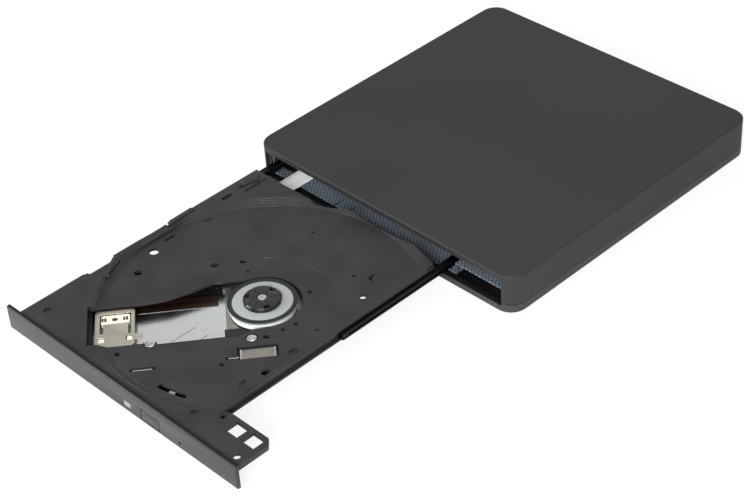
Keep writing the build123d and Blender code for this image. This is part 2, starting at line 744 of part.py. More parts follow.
def make_traverse_frame():
    """Frame that carries the spindle motor, guide rods and sled motor on three dampers."""
    frame = sled_plate(frame_outline, frame_bottom, frame_top)
    frame += sled_post(damper_places[2][0], damper_places[2][1], 3.2, deck_bottom, frame_top)
    hub_room = turntable_radius + 1.6
    frame -= post(spindle_x, spindle_y, hub_room, frame_bottom - 1, frame_top + 1)
    frame -= sled_block(0, sled_window_inner + 1, -hub_room + 3, hub_room - 3, frame_bottom - 1,
                        frame_top + 1)
    # Sled's window: full height inside, and below the deck out to the right-hand rod
    frame -= sled_block(sled_window_inner, sled_window_outer, window_left, pickup_right + 0.3,
                        frame_bottom - 1, frame_top + 1)
    frame -= sled_block(sled_window_inner, sled_window_outer, 0, rod_right + 2.4, frame_bottom - 1,
                        deck_bottom)
    # Room for the nut's arm and for the lead screw
    frame -= sled_block(arm_inner - sled_travel - 0.6, arm_inner + arm_length + 0.6, 0, screw_line + 2.0,
                        frame_bottom - 1, deck_bottom)
    frame -= sled_block(screw_inner - 0.4, screw_outer + 0.5, screw_line - 1.6, screw_line + 1.6,
                        frame_bottom - 1, frame_top + 1)
    frame -= sled_block(screw_outer - 1.2, screw_outer + 1.6, screw_line - 1.5, screw_line + 1.5,
                        frame_bottom - 1, deck_bottom + 0.2)
    frame -= sled_block(motor_inner - 0.3, screw_inner, motor_line - motor_width / 2 - 0.3,
                        motor_line + motor_width / 2 + 0.3, frame_bottom - 1, frame_top + 1)
    for across in (rod_left, rod_right):
        frame -= sled_rod(sled_window_inner - 1.6, sled_window_outer + 1.6, across, rod_z,
                          guide_rod_radius + 0.03)
    for u, w in damper_places:
        frame -= sled_post(u, w, 1.0, frame_bottom - 1, frame_top + 1)
    return frame


def make_guide_rods():
    rods = Part()
    for across in (rod_left, rod_right):
        rods += sled_rod(sled_window_inner - 1.4, sled_window_outer + 1.4, across, rod_z, guide_rod_radius)
    return rods


def make_damper_grommets():
    """Soft rings between the frame and the tray."""
    rings = Part()
    for u, w in damper_places:
        rings += sled_post(u, w, 1.4, frame_top, tray_under - 0.05)
        rings -= sled_post(u, w, damper_shank_radius + 0.05, frame_top - 1, frame_top + 1)
    return rings


def make_damper_screws():
    screws = Part()
    ledge = tray_under + damper_ledge
    for u, w in damper_places[:2]:
        cap = sled_post(u, w, damper_head_radius, ledge, ledge + 0.75)
        cap = fillet(cap.edges().sort_by(Axis.Z)[-1], 0.5)
        screws += cap + sled_post(u, w, damper_shank_radius, deck_bottom + 0.1, ledge + 0.1)
    u, w = damper_places[2]
    screws += sled_post(u, w, damper_shank_radius, deck_bottom + 0.1, tray_under)
    return screws


def make_motor_plate():
    """Steel plate that carries the spindle motor, screwed under the frame."""
    outer = sled_window_inner - 0.6
    outline = [(-17.5, -16), (outer, -16), (outer, 16), (-17.5, 16)]
    base = sled_plate(outline, frame_bottom - 0.5, frame_bottom)
    base += post(spindle_x, spindle_y, 4.0, frame_bottom - 0.1, frame_bottom + 0.6)
    return base


def make_sled_motor():
    can = sled_block(motor_inner, motor_outer, motor_line - motor_width / 2, motor_line + motor_width / 2,
                     shield_top + 0.3, motor_top)
    can = fillet(can.edges().filter_by(Axis.Z), 0.6)
    can += sled_rod(motor_outer - 1, motor_outer + 0.1, screw_line, screw_z, 1.1)
    return can


def make_lead_screw_bracket():
    bracket = sled_block(screw_outer - 1.2, screw_outer + 1.6, screw_line - 1.5, screw_line + 1.5,
                         shield_top + 0.2, deck_bottom + 0.2)
    bracket -= sled_rod(screw_outer - 2, screw_outer + 0.6, screw_line, screw_z, 0.7 + slide_gap)
    return bracket


def make_lead_screw():
    """Screw with a helical ridge drawn as close rings at its pitch."""
    start = screw_inner
    end = screw_outer - 1.4
    screw = sled_rod(start, end, screw_line, screw_z, screw_radius - 0.25)
    turns = int((end - start) / screw_pitch)
    for i in range(turns):
        ring = start + 1.0 + i * screw_pitch
        screw += sled_rod(ring, ring + screw_pitch / 2, screw_line, screw_z, screw_radius)
    screw += sled_rod(end - 0.1, screw_outer + 0.4, screw_line, screw_z, 0.7)
    return screw


def make_sled_base():
    """Pickup body that slides on the two rods."""
    u0 = pickup_inner
    u1 = pickup_inner + pickup_length
    base = sled_block(u0, u1, rod_left - 1.7, pickup_right, sled_bottom, frame_top - 0.1)
    base += sled_block(u0, u1, 0, rod_right + 2.0, sled_bottom, deck_bottom - 0.2)
    for across in (rod_left, rod_right):
        base -= sled_rod(u0 - 1, u1 + 1, across, rod_z, guide_rod_radius + slide_gap)
    # Well for the lens carrier
    well = lens_distance
    base -= sled_block(well - 6.3, well + 6.0, -4.6, 4.4, sled_bottom + 0.8, frame_top + 1)
    base -= sled_block(well - 2.4, well + 2.4, -2.4, 3.4, sled_bottom - 1, frame_top + 1)
    return base


def make_drive_nut():
    """Arm from the sled to the lead screw, ending in a half nut under it."""
    low = arm_bottom
    top = low + 0.4
    end = arm_inner + arm_length
    arm = sled_block(arm_inner, end, rod_right - 1.0, screw_line + 1.6, low, top)
    arm += sled_block(end - 0.1, pickup_inner + 2.0, rod_right - 1.0, rod_right + 2.0, low, sled_bottom)
    for edge in (screw_line - 1.65, screw_line + 1.15):
        arm += sled_block(arm_inner, end, edge, edge + 0.45, low, low + arm_height)
    return arm


cover_top = frame_top + 0.7
cover_sheet = 0.3


def make_pickup_cover():
    """Folded metal plate over the pickup, with a window for the lens and two adjusting windows."""
    u0 = pickup_inner
    u1 = pickup_inner + pickup_length
    cover = sled_block(u0, u1, -pickup_left, pickup_right, cover_top - cover_sheet, cover_top)
    cover = chamfer(cover.edges().filter_by(Axis.Z), 1.2)
    cover += sled_block(u0 - 3.1, u0 + 0.5, 9.6, 12.9, cover_top - cover_sheet, cover_top)
    cover += sled_block(u0 + 8.8, u0 + 11.1, pickup_right - 0.1, pickup_right + 0.25,
                        cover_top - cover_sheet, cover_top)
    skirt_low = frame_top - 0.1
    for w in (-pickup_left, pickup_right - cover_sheet):
        cover += sled_block(u0 + 2, u1 - 2, w, w + cover_sheet, skirt_low, cover_top - 0.1)
    well = lens_distance
    cover -= sled_block(well - 6.1, well + 5.6, -3.2, 2.8, cover_top - 2, cover_top + 1)
    cover -= sled_block(well + 4.3, well + 5.6, 2.7, 8.2, cover_top - 2, cover_top + 1)
    cover -= sled_block(well - 6.1, well - 5.1, 2.7, 9.0, cover_top - 2, cover_top + 1)
    cover -= sled_block(u0 + 0.9, u0 + 3.3, 10.3, 13.0, cover_top - 2, cover_top + 1)
    cover -= sled_block(u1 - 3.7, u1 - 1.1, 10.6, 13.4, cover_top - 2, cover_top + 1)
    return cover


def make_lens_magnets():
    well = lens_distance
    magnets = sled_block(well - 4.0, well + 4.0, -4.5, -3.3, sled_bottom + 0.8, frame_top - 0.4)
    magnets += sled_block(well - 4.0, well + 4.0, 2.9, 4.1, sled_bottom + 0.8, frame_top - 0.4)
    return magnets


lens_radius = 1.1
lens_centre = -0.2


def make_lens_holder():
    """Light carrier that floats in the pickup and holds the lens."""
    well = lens_distance
    low = sled_bottom + 1.3
    top = cover_top - 0.2
    holder = sled_block(well - 5.7, well + 5.2, -2.7, 2.3, low, top)
    holder = chamfer(holder.edges().filter_by(Axis.Z), 0.5)
    # Wire notches at both ends
    for u in (well - 4.9, well - 3.9, well + 3.2, well + 4.2):
        holder -= sled_block(u - 0.25, u + 0.25, -1.3, 1.1, top - 0.4, top + 1)
    holder -= sled_post(well, lens_centre, lens_radius + 0.05, top - 1.0, top + 1)
    holder -= sled_post(well, lens_centre, 0.8, low - 1, top + 1)
    return holder


def make_lens():
    top = cover_top - 0.2
    glass = sled_post(lens_distance, lens_centre, lens_radius, top - 1.0, top - 0.1)
    glass = fillet(glass.edges().sort_by(Axis.Z)[-1], 0.35)
    return glass


def make_pickup_flex():
    """Thin amber ribbon from the pickup towards the tray board."""
    low = shield_top + 0.05
    ribbon = sled_block(sled_window_inner + 2, pickup_inner + 2.0, -14.5, -6.5, low, low + 0.15)
    return ribbon


# Turntable
rotor_radius = turntable_radius - 1.0
rotor_bottom = frame_bottom + 0.9
platter_bottom = recess_floor - 0.4
disc_level = recess_floor + 0.6
rubber_width = 1.9
hub_clearance = 0.1
ball_radius = 0.4
ball_above_disc_level = 1.15
pocket_floor = disc_level + 0.7
pocket_angle = 95.0
slit_spread = 16.5
hub_top = lid_underside - 0.4


def make_rotor():
    """Bright motor cup that turns with the platter."""
    cup = post(spindle_x, spindle_y, rotor_radius, rotor_bottom, platter_bottom)
    cup += post(spindle_x, spindle_y, turntable_radius - 0.3, platter_bottom - 1.0, platter_bottom)
    cup -= post(spindle_x, spindle_y, rotor_radius - 0.8, rotor_bottom - 1, platter_bottom - 1.2)
    cup += post(spindle_x, spindle_y, 3.0, rotor_bottom, platter_bottom)
    return cup


def make_disc_platter():
    ring = post(spindle_x, spindle_y, turntable_radius, platter_bottom, disc_level - 0.3)
    ring += post(spindle_x, spindle_y, turntable_radius - rubber_width - 0.05, platter_bottom,
                 disc_level - 0.15)
    ring -= post(spindle_x, spindle_y, 4.0, platter_bottom - 1, disc_level + 1)
    return ring


def make_rubber_ring():
    ring = post(spindle_x, spindle_y, turntable_radius - 0.1, disc_level - 0.3, disc_level)
    ring -= post(spindle_x, spindle_y, turntable_radius - rubber_width, disc_level - 1, disc_level + 1)
    return ring


def make_hub():
    """Centring hub with a crown of notches and three ball pockets."""
    radius = disc_hole_radius - hub_clearance
    hub = post(spindle_x, spindle_y, radius, disc_level - 0.15, hub_top)
    hub = chamfer(hub.edges().sort_by(Axis.Z)[-1], 0.45)
    hub += post(spindle_x, spindle_y, 3.95, platter_bottom, disc_level - 0.1)
    for i in range(3):
        spoke = Pos(spindle_x, spindle_y, pocket_floor) * Rot(0, 0, pocket_angle + 120 * i)
        hub -= spoke * Pos(radius - 0.9, 0, 1.0) * Box(3.0, 2.3, 2.0)
        for turn in (60 - slit_spread, 60 + slit_spread):
            hub -= spoke * Rot(0, 0, turn) * Pos(radius, 0, 1.0) * Box(1.6, 0.6, 2.0)
    hub -= post(spindle_x, spindle_y, 2.3, hub_top - 0.3, hub_top + 1)
    hub -= post(spindle_x, spindle_y, 0.8, platter_bottom - 1, hub_top + 1)
    return hub


def make_chuck_balls():
    """Three spring-loaded balls that grip the disc."""
    balls = Part()
    for i in range(3):
        spoke = Pos(spindle_x, spindle_y, 0) * Rot(0, 0, pocket_angle + 120 * i)
        place = Pos(disc_hole_radius - ball_radius, 0, disc_level + ball_above_disc_level)
        balls += spoke * place * Sphere(ball_radius)
    return balls


def make_hub_screw():
    screw = post(spindle_x, spindle_y, 1.7, hub_top - 0.3, hub_top - 0.02)
    screw += post(spindle_x, spindle_y, 0.75, platter_bottom + 0.1, hub_top - 0.2)
    for turn in (20, 110):
        screw -= Pos(spindle_x, spindle_y, hub_top) * Rot(0, 0, turn) * Box(1.9, 0.45, 0.4)
    return screw


# Tray electronics and latch
tray_board_top = tray_under - 1.7
tray_board_bottom = tray_board_top - 0.8
tray_board_left = tray_groove_left + 2.4
tray_board_width = 28.3
tray_board_right = tray_board_left + tray_board_width
tray_board_front = tray_left_rear - 17.0
tray_board_rear = tray_left_rear - 8.0
flex_left = drive_left + 7.5
flex_width = 8.6
flex_thickness = 0.25
flex_base = chassis_floor + 0.05


def make_tray_board():
    board = block(tray_board_left, tray_board_right, tray_board_front, tray_board_rear,
                  tray_board_bottom, tray_board_top)
    x, y = tray_bosses[2]
    return board - post(x, y, tray_boss_radius + 0.2, tray_board_bottom - 1, tray_board_top + 1)


def make_tray_board_connector():
    return block(flex_left - 0.8, flex_left + flex_width + 0.8, tray_board_rear - 4.5,
                 tray_board_rear - 0.2, tray_board_bottom - 1.2, tray_board_bottom)


def make_flex_cable():
    """White ribbon from the chassis connector, folded up under the tray."""
    rear = drive_rear - 6.2
    fold_y = tray_left_rear - 1.5
    x0 = flex_left
    x1 = flex_left + flex_width
    low = flex_base
    top = tray_board_bottom - 0.7
    strip = block(x0, x1, fold_y, rear, low, low + flex_thickness)
    strip += block(x0, x1, fold_y, fold_y + flex_thickness, low, top)
    strip += block(x0, x1, tray_board_rear - 0.2, fold_y + flex_thickness, top - flex_thickness, top)
    return strip


def make_flex_connector():
    return block(flex_left - 1, flex_left + flex_width + 1, drive_rear - 6.2, drive_rear - sheet - 0.4,
                 chassis_floor, chassis_floor + 1.6)


def make_main_board():
    front = drive_front + wing_depth + 3.0
    return block(wing_floor_left + 1.4, drive_right - sheet - 0.6, front, drive_rear - sheet - 0.4,
                 wing_floor_top + 0.2, wing_floor_top + 0.2 + board_thickness)


def make_main_board_chips():
    top = wing_floor_top + 0.2 + board_thickness
    x = (wing_floor_left + drive_right) / 2
    front = drive_front + wing_depth + 3.0
    chips = Part()
    for share, offset, depth in ((0.58, 18, 14), (0.38, 46, 7), (0.33, 66, 12), (0.21, 86, 4)):
        width = share * wing_room
        chips += block(x - width / 2, x + width / 2, front + offset - depth / 2, front + offset + depth / 2,
                       top, top + 1.0)
    return chips


def make_drive_connector():
    base = wing_floor_top + 0.2 + board_thickness
    return block(connector_x - connector_width / 2, connector_x + connector_width / 2,
                 drive_rear - 5.0, drive_rear + 0.6, base, lid_underside - 0.2)


def make_bridge_board():
    return block(bridge_board_left, bridge_board_right, bridge_board_front, bridge_board_rear,
                 bridge_board_base, bridge_board_top)


def make_bridge_connector():
    front = drive_rear + 0.6
    left = connector_x - connector_width / 2
    right = connector_x + connector_width / 2
    body = block(left, right, front, front + 5.0, bridge_board_top, drive_top - 0.2)
    body -= block(left, right, front - 1, bridge_board_front + 0.6, bridge_board_top - 1, wing_floor_top)
    return body


# Chips on the bridge board: distance from its left end, width, depth, height
bridge_chip_sizes = [(16, 7, 7, 0.9), (27, 4, 3, 1.2), (32.5, 2.5, 2, 0.8), (6, 5, 3.2, 1.4)]


def make_bridge_chips():
    chips = Part()
    middle = (bridge_board_front + bridge_board_rear) / 2
    for x, width, depth, height in bridge_chip_sizes:
        left = bridge_board_left + x - width / 2
        chips += block(left, left + width, middle - depth / 2, middle + depth / 2,
                       bridge_board_top, bridge_board_top + height)
    return chips


def make_socket_shell():
    """Metal shell of the data and power socket, open at the rear wall."""
    middle = socket_base + socket_height / 2
    rear = case_rear - 0.3
    place = Pos(socket_x, rear, middle) * Rot(90, 0, 0)
    corner = socket_height / 2 - 0.02
    shell = place * extrude(RectangleRounded(socket_width, socket_height, corner), socket_depth)
    inner_width = socket_width - 2 * socket_wall
    inner_height = socket_height - 2 * socket_wall
    room = place * extrude(RectangleRounded(inner_width, inner_height, corner - socket_wall),
                           socket_depth - 0.6)
    return shell - room


def make_socket_tongue():
    middle = socket_base + socket_height / 2
    rear = case_rear - 0.3
    return block(socket_x - 3.3, socket_x + 3.3, rear - socket_depth + 0.6, rear - 1.2, middle - 0.35,
                 middle + 0.35)


def make_latch_post():
    pin = post(latch_post_x, latch_post_y, latch_post_radius, chassis_floor, latch_post_top)
    pin += post(latch_post_x, latch_post_y, 1.3, chassis_floor, chassis_floor + 0.3)
    return pin


latch_pivot_x = latch_post_x - 6.0
latch_pivot_y = latch_post_y - tray_travel - 2.5
latch_tail = 15.0
latch_low = shield_top + 0.5
latch_high = latch_low + 1.2


def make_latch_lever():
    """Hook that swings in behind the chassis post when the tray is shut, with a tail for its coil."""
    x = latch_pivot_x
    y = latch_pivot_y
    post_y = latch_post_y - tray_travel
    tail = latch_tail
    lever = plate([(x - 2, y - 2), (x + 2.2, y - 2), (x + 2.2, post_y + 1.6), (x + 4.4, post_y + 2.6),
                   (x + 4.4, post_y + 4.2), (x - 1.0, post_y + 2.6), (x - tail, post_y + 2.2),
                   (x - tail, post_y + 0.2), (x - 2, post_y - 0.2)], latch_low, latch_high)
    lever -= post(x, y, 0.8 + slide_gap, latch_low - 1, latch_high + 1)
    return lever


def make_latch_pin():
    return post(latch_pivot_x, latch_pivot_y, 0.8, shield_top, tray_under)


def make_latch_solenoid():
    x = latch_pivot_x
    y = latch_pivot_y
    coil = block(x - 12.6, x - 3.6, y - 2.1, y + 1.7, shield_top + 0.2, tray_under - 0.2)
    coil = fillet(coil.edges().filter_by(Axis.X), 1.0)
    return coil


parts = {
    "top_cover": make_top_cover(),
    "bottom_cover": make_bottom_cover(),
    "rubber_feet": make_rubber_feet(),
    "case_screws": countersunk_screws(cover_screws, case_base + 0.1, 9.0),
    "drive_chassis": make_drive_chassis(),
    "drive_top_plate": make_drive_top_plate(),
    "chassis_screws": countersunk_screws(chassis_screws, case_base + 0.1, chassis_floor - case_base - 0.1),
    "left_rail_guide": make_left_rail_guide(),
    "right_rail_guide": make_right_rail_guide(),
    "main_board": make_main_board(),
    "main_board_chips": make_main_board_chips(),
    "drive_connector": make_drive_connector(),
    "bridge_board": make_bridge_board(),
    "bridge_chips": make_bridge_chips(),
    "bridge_connector": make_bridge_connector(),
    "socket_shell": make_socket_shell(),
    "socket_tongue": make_socket_tongue(),
    "latch_post": make_latch_post(),
    "flex_cable": make_flex_cable(),
    "flex_connector": make_flex_connector(),
    "left_rail": make_rail(left_rail_outer, 1),
    "right_rail": make_rail(right_rail_outer, -1),
    "tray": make_tray(),
    "front_bezel": make_front_bezel(),
    "led_lens": make_led_lens(),
    "tray_shield": make_tray_shield(),
    "tray_screws": make_tray_screws(),
    "traverse_frame": make_traverse_frame(),
    "guide_rods": make_guide_rods(),
    "damper_grommets": make_damper_grommets(),
    "damper_screws": make_damper_screws(),
    "motor_plate": make_motor_plate(),
    "sled_motor": make_sled_motor(),
    "lead_screw_bracket": make_lead_screw_bracket(),
    "tray_board": make_tray_board(),
    "tray_board_connector": make_tray_board_connector(),
    "eject_switch": make_eject_switch(),
    "latch_pin": make_latch_pin(),
    "latch_solenoid": make_latch_solenoid(),
    "pickup_flex": make_pickup_flex(),
    "rotor": make_rotor(),
    "disc_platter": make_disc_platter(),
    "rubber_ring": make_rubber_ring(),
    "hub": make_hub(),
    "chuck_balls": make_chuck_balls(),
    "hub_screw": make_hub_screw(),
    "sled_base": make_sled_base(),
    "drive_nut": make_drive_nut(),
    "pickup_cover": make_pickup_cover(),
    "lens_magnets": make_lens_magnets(),
    "lens_holder": make_lens_holder(),
    "lens": make_lens(),
    "lead_screw": make_lead_screw(),
    "eject_button": make_eject_button(),
    "latch_lever": make_latch_lever(),
}

for name, shape in parts.items():
    save(name, shape)
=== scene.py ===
import contextlib
import json
import math

import bmesh
import bpy
from bpy.props import FloatProperty, FloatVectorProperty, PointerProperty
from mathutils import Matrix, Vector

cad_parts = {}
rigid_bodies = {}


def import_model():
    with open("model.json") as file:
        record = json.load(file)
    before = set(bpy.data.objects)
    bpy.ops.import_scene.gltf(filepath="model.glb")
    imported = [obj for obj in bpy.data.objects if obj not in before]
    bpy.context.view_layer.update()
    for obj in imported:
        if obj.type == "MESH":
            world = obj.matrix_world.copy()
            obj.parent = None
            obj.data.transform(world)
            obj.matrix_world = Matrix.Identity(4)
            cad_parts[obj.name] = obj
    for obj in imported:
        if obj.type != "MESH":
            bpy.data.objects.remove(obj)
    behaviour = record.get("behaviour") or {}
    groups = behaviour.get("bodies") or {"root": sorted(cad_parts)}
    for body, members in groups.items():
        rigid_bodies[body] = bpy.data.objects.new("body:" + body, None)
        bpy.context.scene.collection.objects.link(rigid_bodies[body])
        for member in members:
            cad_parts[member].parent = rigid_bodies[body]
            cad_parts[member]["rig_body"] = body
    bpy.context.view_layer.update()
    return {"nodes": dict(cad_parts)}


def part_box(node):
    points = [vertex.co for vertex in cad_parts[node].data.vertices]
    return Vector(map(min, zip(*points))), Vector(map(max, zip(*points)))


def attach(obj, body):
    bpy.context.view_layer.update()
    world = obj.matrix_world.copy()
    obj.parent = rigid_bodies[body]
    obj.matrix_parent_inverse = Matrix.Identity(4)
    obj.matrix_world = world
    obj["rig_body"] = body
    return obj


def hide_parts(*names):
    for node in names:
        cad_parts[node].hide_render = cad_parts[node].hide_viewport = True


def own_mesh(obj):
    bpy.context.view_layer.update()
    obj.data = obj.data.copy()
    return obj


bl_info = {
    "name": "External disc drive",
    "version": (1, 0, 0),
    "blender": (4, 5, 0),
    "location": "3D View > Sidebar > Disc drive",
    "description": "Dresses the packed disc drive with its finishes and small fittings",
    "category": "Object",
}

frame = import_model()
nodes = frame["nodes"]

MM = 0.001


def mm(*size):
    """A point or a size given in mm."""
    return Vector(size) * MM


# The pickup travels on this heading from the spindle, square to ACROSS.
PICKUP_TURN = math.radians(230.7)
ALONG = Vector((math.cos(PICKUP_TURN), math.sin(PICKUP_TURN)))
ACROSS = Vector((-math.sin(PICKUP_TURN), math.cos(PICKUP_TURN)))
hub_low, hub_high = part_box("hub")
SPINDLE = (hub_low + hub_high) / 2


def from_spindle(outward, across, z):
    """A point given in mm along and across the pickup's travel, with its height in mm."""
    place = SPINDLE.xy + (ALONG * outward + ACROSS * across) * MM
    return Vector((place.x, place.y, z * MM))


# Finishes

# Sizes in mm of the slow drifts in tone and gloss
MOULD_FLOW = 14.0
SPRAY_CLOUD = 60.0
ROLLED_CLOUD = 9.0
DIMPLED_CLOUD = 7.0
FILM_HAZE = 5.0


def linear(code):
    """An sRGB hex colour as linear red, green, blue and alpha."""
    parts = [int(code[i:i + 2], 16) / 255 for i in (1, 3, 5)]
    return (*(c / 12.92 if c <= 0.04045 else ((c + 0.055) / 1.055) ** 2.4 for c in parts), 1.0)


def per_metre(size_mm):
    """Pattern scale on Object coordinates for a feature of this size."""
    return 1000.0 / size_mm


def add_node(tree, kind, settings=None, links=None):
    """Adds a shader node, sets its properties and input values, and links its inputs.

    Names in lower case are properties of the node. The others name or number its inputs.
    """
    node = tree.nodes.new("ShaderNode" + kind)
    for name, value in (settings or {}).items():
        if isinstance(name, str) and name.islower():
            setattr(node, name, value)
        else:
            node.inputs[name].default_value = value
    for name, socket in (links or {}).items():
        tree.links.new(socket, node.inputs[name])
    return node


def new_finish(name, **sockets):
    """A material with its shader's constant sockets set by name, and its Object coordinates."""
    material = bpy.data.materials.new(name)
    material.use_nodes = True
    tree = material.node_tree
    shader = tree.nodes["Principled BSDF"]
    for socket, value in sockets.items():
        shader.inputs[socket.replace("_", " ")].default_value = value
    place = add_node(tree, "TexCoord")
    return material, tree, shader, place.outputs["Object"]


def surface(tree, shader, tone, colours, gloss, roughness, height, depth_mm, reach=(0.35, 0.65)):
    """Gives a shader its two tones, its uneven gloss and its relief, each from a pattern.

    The colours are hex codes, or linear ones from the panel. reach is where the ramp between
    them starts and ends.
    """
    ramp = add_node(tree, "ValToRGB", links={"Fac": tone})
    for element, position, code in zip(ramp.color_ramp.elements, reach, colours):
        element.position = position
        element.color = linear(code) if isinstance(code, str) else code
    span = add_node(tree, "MapRange", {"To Min": roughness[0], "To Max": roughness[1]},
                    {"Value": gloss})
    bump = add_node(tree, "Bump", {"Distance": depth_mm * MM}, {"Height": height})
    tree.links.new(ramp.outputs["Color"], shader.inputs["Base Color"])
    tree.links.new(span.outputs["Result"], shader.inputs["Roughness"])
    tree.links.new(bump.outputs["Normal"], shader.inputs["Normal"])


def moulded_plastic(name, colours, roughness, grain_mm, depth_mm, specular=0.3):
    """Injection-moulded plastic: spark-eroded grain, with tone and gloss that drift."""
    material, tree, shader, place = new_finish(name, IOR=1.5, Specular_IOR_Level=specular)
    grain = add_node(tree, "TexNoise", {"Scale": per_metre(grain_mm), "Detail": 3.0},
                     {"Vector": place})
    flow = add_node(tree, "TexNoise", {"Scale": per_metre(MOULD_FLOW), "Detail": 2.0},
                    {"Vector": place})
    tone = add_node(tree, "Mix", {"Factor": 0.55},
                    {"A": grain.outputs["Fac"], "B": flow.outputs["Fac"]})
    surface(tree, shader, tone.outputs["Result"], colours, flow.outputs["Fac"],
            (roughness - 0.05, roughness + 0.07), grain.outputs["Fac"], depth_mm)
    return material


def lacquered_shell(name, colours, roughness):
    """Sprayed soft lacquer on the case: even tone, a dust-like grain and a low sheen."""
    material, tree, shader, place = new_finish(name, IOR=1.46, Specular_IOR_Level=0.3)
    # The real grain is near 0.1 mm. It is drawn at 0.35 mm so that it shows.
    dust = add_node(tree, "TexNoise", {"Scale": per_metre(0.35), "Detail": 2.0}, {"Vector": place})
    cloud = add_node(tree, "TexNoise", {"Scale": per_metre(SPRAY_CLOUD), "Detail": 2.0},
                     {"Vector": place})
    tone = add_node(tree, "Mix", {"Factor": 0.6},
                    {"A": dust.outputs["Fac"], "B": cloud.outputs["Fac"]})
    surface(tree, shader, tone.outputs["Result"], colours, cloud.outputs["Fac"],
            (roughness - 0.03, roughness + 0.05), dust.outputs["Fac"], 0.006)
    return material


def metallic_paint(name, colours, roughness):
    """Sprayed paint with metal flake: a sparkle, and a face that brightens towards the light."""
    material, tree, shader, place = new_finish(name, Metallic=0.35, IOR=1.5,
                                               Specular_IOR_Level=0.35)
    # Real flakes are near 0.05 mm. They are drawn at 0.25 mm so that they show.
    flake = add_node(tree, "TexVoronoi", {"Scale": per_metre(0.25)}, {"Vector": place})
    spread = flake.outputs["Distance"]
    surface(tree, shader, spread, colours, spread, (roughness, roughness + 0.1), spread, 0.008,
            (0.1, 0.8))
    return material


def sheet_steel(name, colours, roughness, streak_mm=0.5, turn=0.0):
    """Rolled or plated metal: fine streaks along the rolling direction, and cloudy gloss."""
    material, tree, shader, place = new_finish(name, Metallic=1.0)
    rolled = add_node(tree, "Mapping", {"Rotation": (0.0, 0.0, turn), "Scale": (1.0, 0.06, 1.0)},
                      {"Vector": place})
    streak = add_node(tree, "TexNoise", {"Scale": per_metre(streak_mm), "Detail": 4.0},
                      {"Vector": rolled.outputs["Vector"]})
    cloud = add_node(tree, "TexNoise", {"Scale": per_metre(ROLLED_CLOUD), "Detail": 3.0},
                     {"Vector": place})
    tone = add_node(tree, "Mix", {"Factor": 0.4},
                    {"A": streak.outputs["Fac"], "B": cloud.outputs["Fac"]})
    surface(tree, shader, tone.outputs["Result"], colours, cloud.outputs["Fac"],
            (roughness - 0.06, roughness + 0.08), streak.outputs["Fac"], 0.004)
    return material


def dimpled_steel(name, colours, roughness, pitch_mm, depth_mm, metallic, reach):
    """Sheet rolled with small dimples in slightly slanting rows. One pattern raises the dimples in
    the bump and paints pale dots into the colour as painted highlights where the dimples catch the
    light.
    """
    material, tree, shader, place = new_finish(name, Metallic=metallic)
    turned = add_node(tree, "Mapping", {"Rotation": (0.0, 0.0, math.radians(8.0))},
                      {"Vector": place})
    axes = add_node(tree, "SeparateXYZ", links={"Vector": turned.outputs["Vector"]})
    rows = []
    for axis in ("X", "Y"):
        phase = add_node(tree, "Math",
                         {"operation": "MULTIPLY", 1: 2 * math.pi * per_metre(pitch_mm)},
                         {0: axes.outputs[axis]})
        rows.append(add_node(tree, "Math", {"operation": "SINE"}, {0: phase.outputs[0]}))
    # The product of the two waves gives the dimples' bump, and it also paints their highlights into
    # the colour as pale dots
    dimple_bumps_and_glints = add_node(tree, "Math", {"operation": "MULTIPLY"},
                    {0: rows[0].outputs[0], 1: rows[1].outputs[0]})
    level = add_node(tree, "MapRange", {"From Min": -1.0, "From Max": 1.0},
                     {"Value": dimple_bumps_and_glints.outputs[0]})
    cloud = add_node(tree, "TexNoise", {"Scale": per_metre(DIMPLED_CLOUD), "Detail": 3.0},
                     {"Vector": place})
    surface(tree, shader, level.outputs["Result"], colours, cloud.outputs["Fac"],
            (roughness - 0.06, roughness + 0.08), level.outputs["Result"], depth_mm, reach)
    return material


def cast_rubber(name, colours):
    """Moulded rubber: dull all over, with fine pits that soften its highlight."""
    material, tree, shader, place = new_finish(name, IOR=1.52, Specular_IOR_Level=0.35)
    pits = add_node(tree, "TexNoise", {"Scale": per_metre(0.3), "Detail": 3.0}, {"Vector": place})
    surface(tree, shader, pits.outputs["Fac"], colours, pits.outputs["Fac"], (0.72, 0.88),
            pits.outputs["Fac"], 0.015)
    return material


def circuit_board(name, colours):
    """Solder-masked laminate: glossy green, its copper tracks standing faintly under the mask."""
    material, tree, shader, place = new_finish(name, IOR=1.52)
    tracks = add_node(tree, "TexBrick", {"Scale": per_metre(6.0), "Mortar Size": 0.06},
                      {"Vector": place})
    weave = add_node(tree, "TexNoise", {"Scale": per_metre(1.2), "Detail": 2.0}, {"Vector": place})
    surface(tree, shader, tracks.outputs["Fac"], colours, weave.outputs["Fac"], (0.3, 0.45),
            tracks.outputs["Fac"], 0.02, (0.0, 1.0))
    return material


def ribbon_film(name, colours, roughness, pitch_mm, turn=0.0):
    """Flat cable: parallel conductors that show as faint bands and ridges through a smooth film."""
    material, tree, shader, place = new_finish(name, IOR=1.5)
    run = add_node(tree, "Mapping", {"Rotation": (0.0, 0.0, turn)}, {"Vector": place})
    # The wave turns 20 radians in a unit of its scale, so each band is 2 pi conductors wide.
    # One conductor to a band would be too fine to show.
    lines = add_node(tree, "TexWave",
                     {"wave_type": "BANDS", "bands_direction": "X",
                      "Scale": per_metre(pitch_mm) / 20.0, "Distortion": 0.0},
                     {"Vector": run.outputs["Vector"]})
    haze = add_node(tree, "TexNoise", {"Scale": per_metre(FILM_HAZE), "Detail": 2.0},
                    {"Vector": place})
    surface(tree, shader, lines.outputs["Fac"], colours, haze.outputs["Fac"],
            (roughness - 0.05, roughness + 0.08), lines.outputs["Fac"], 0.01, (0.1, 0.7))
    return material


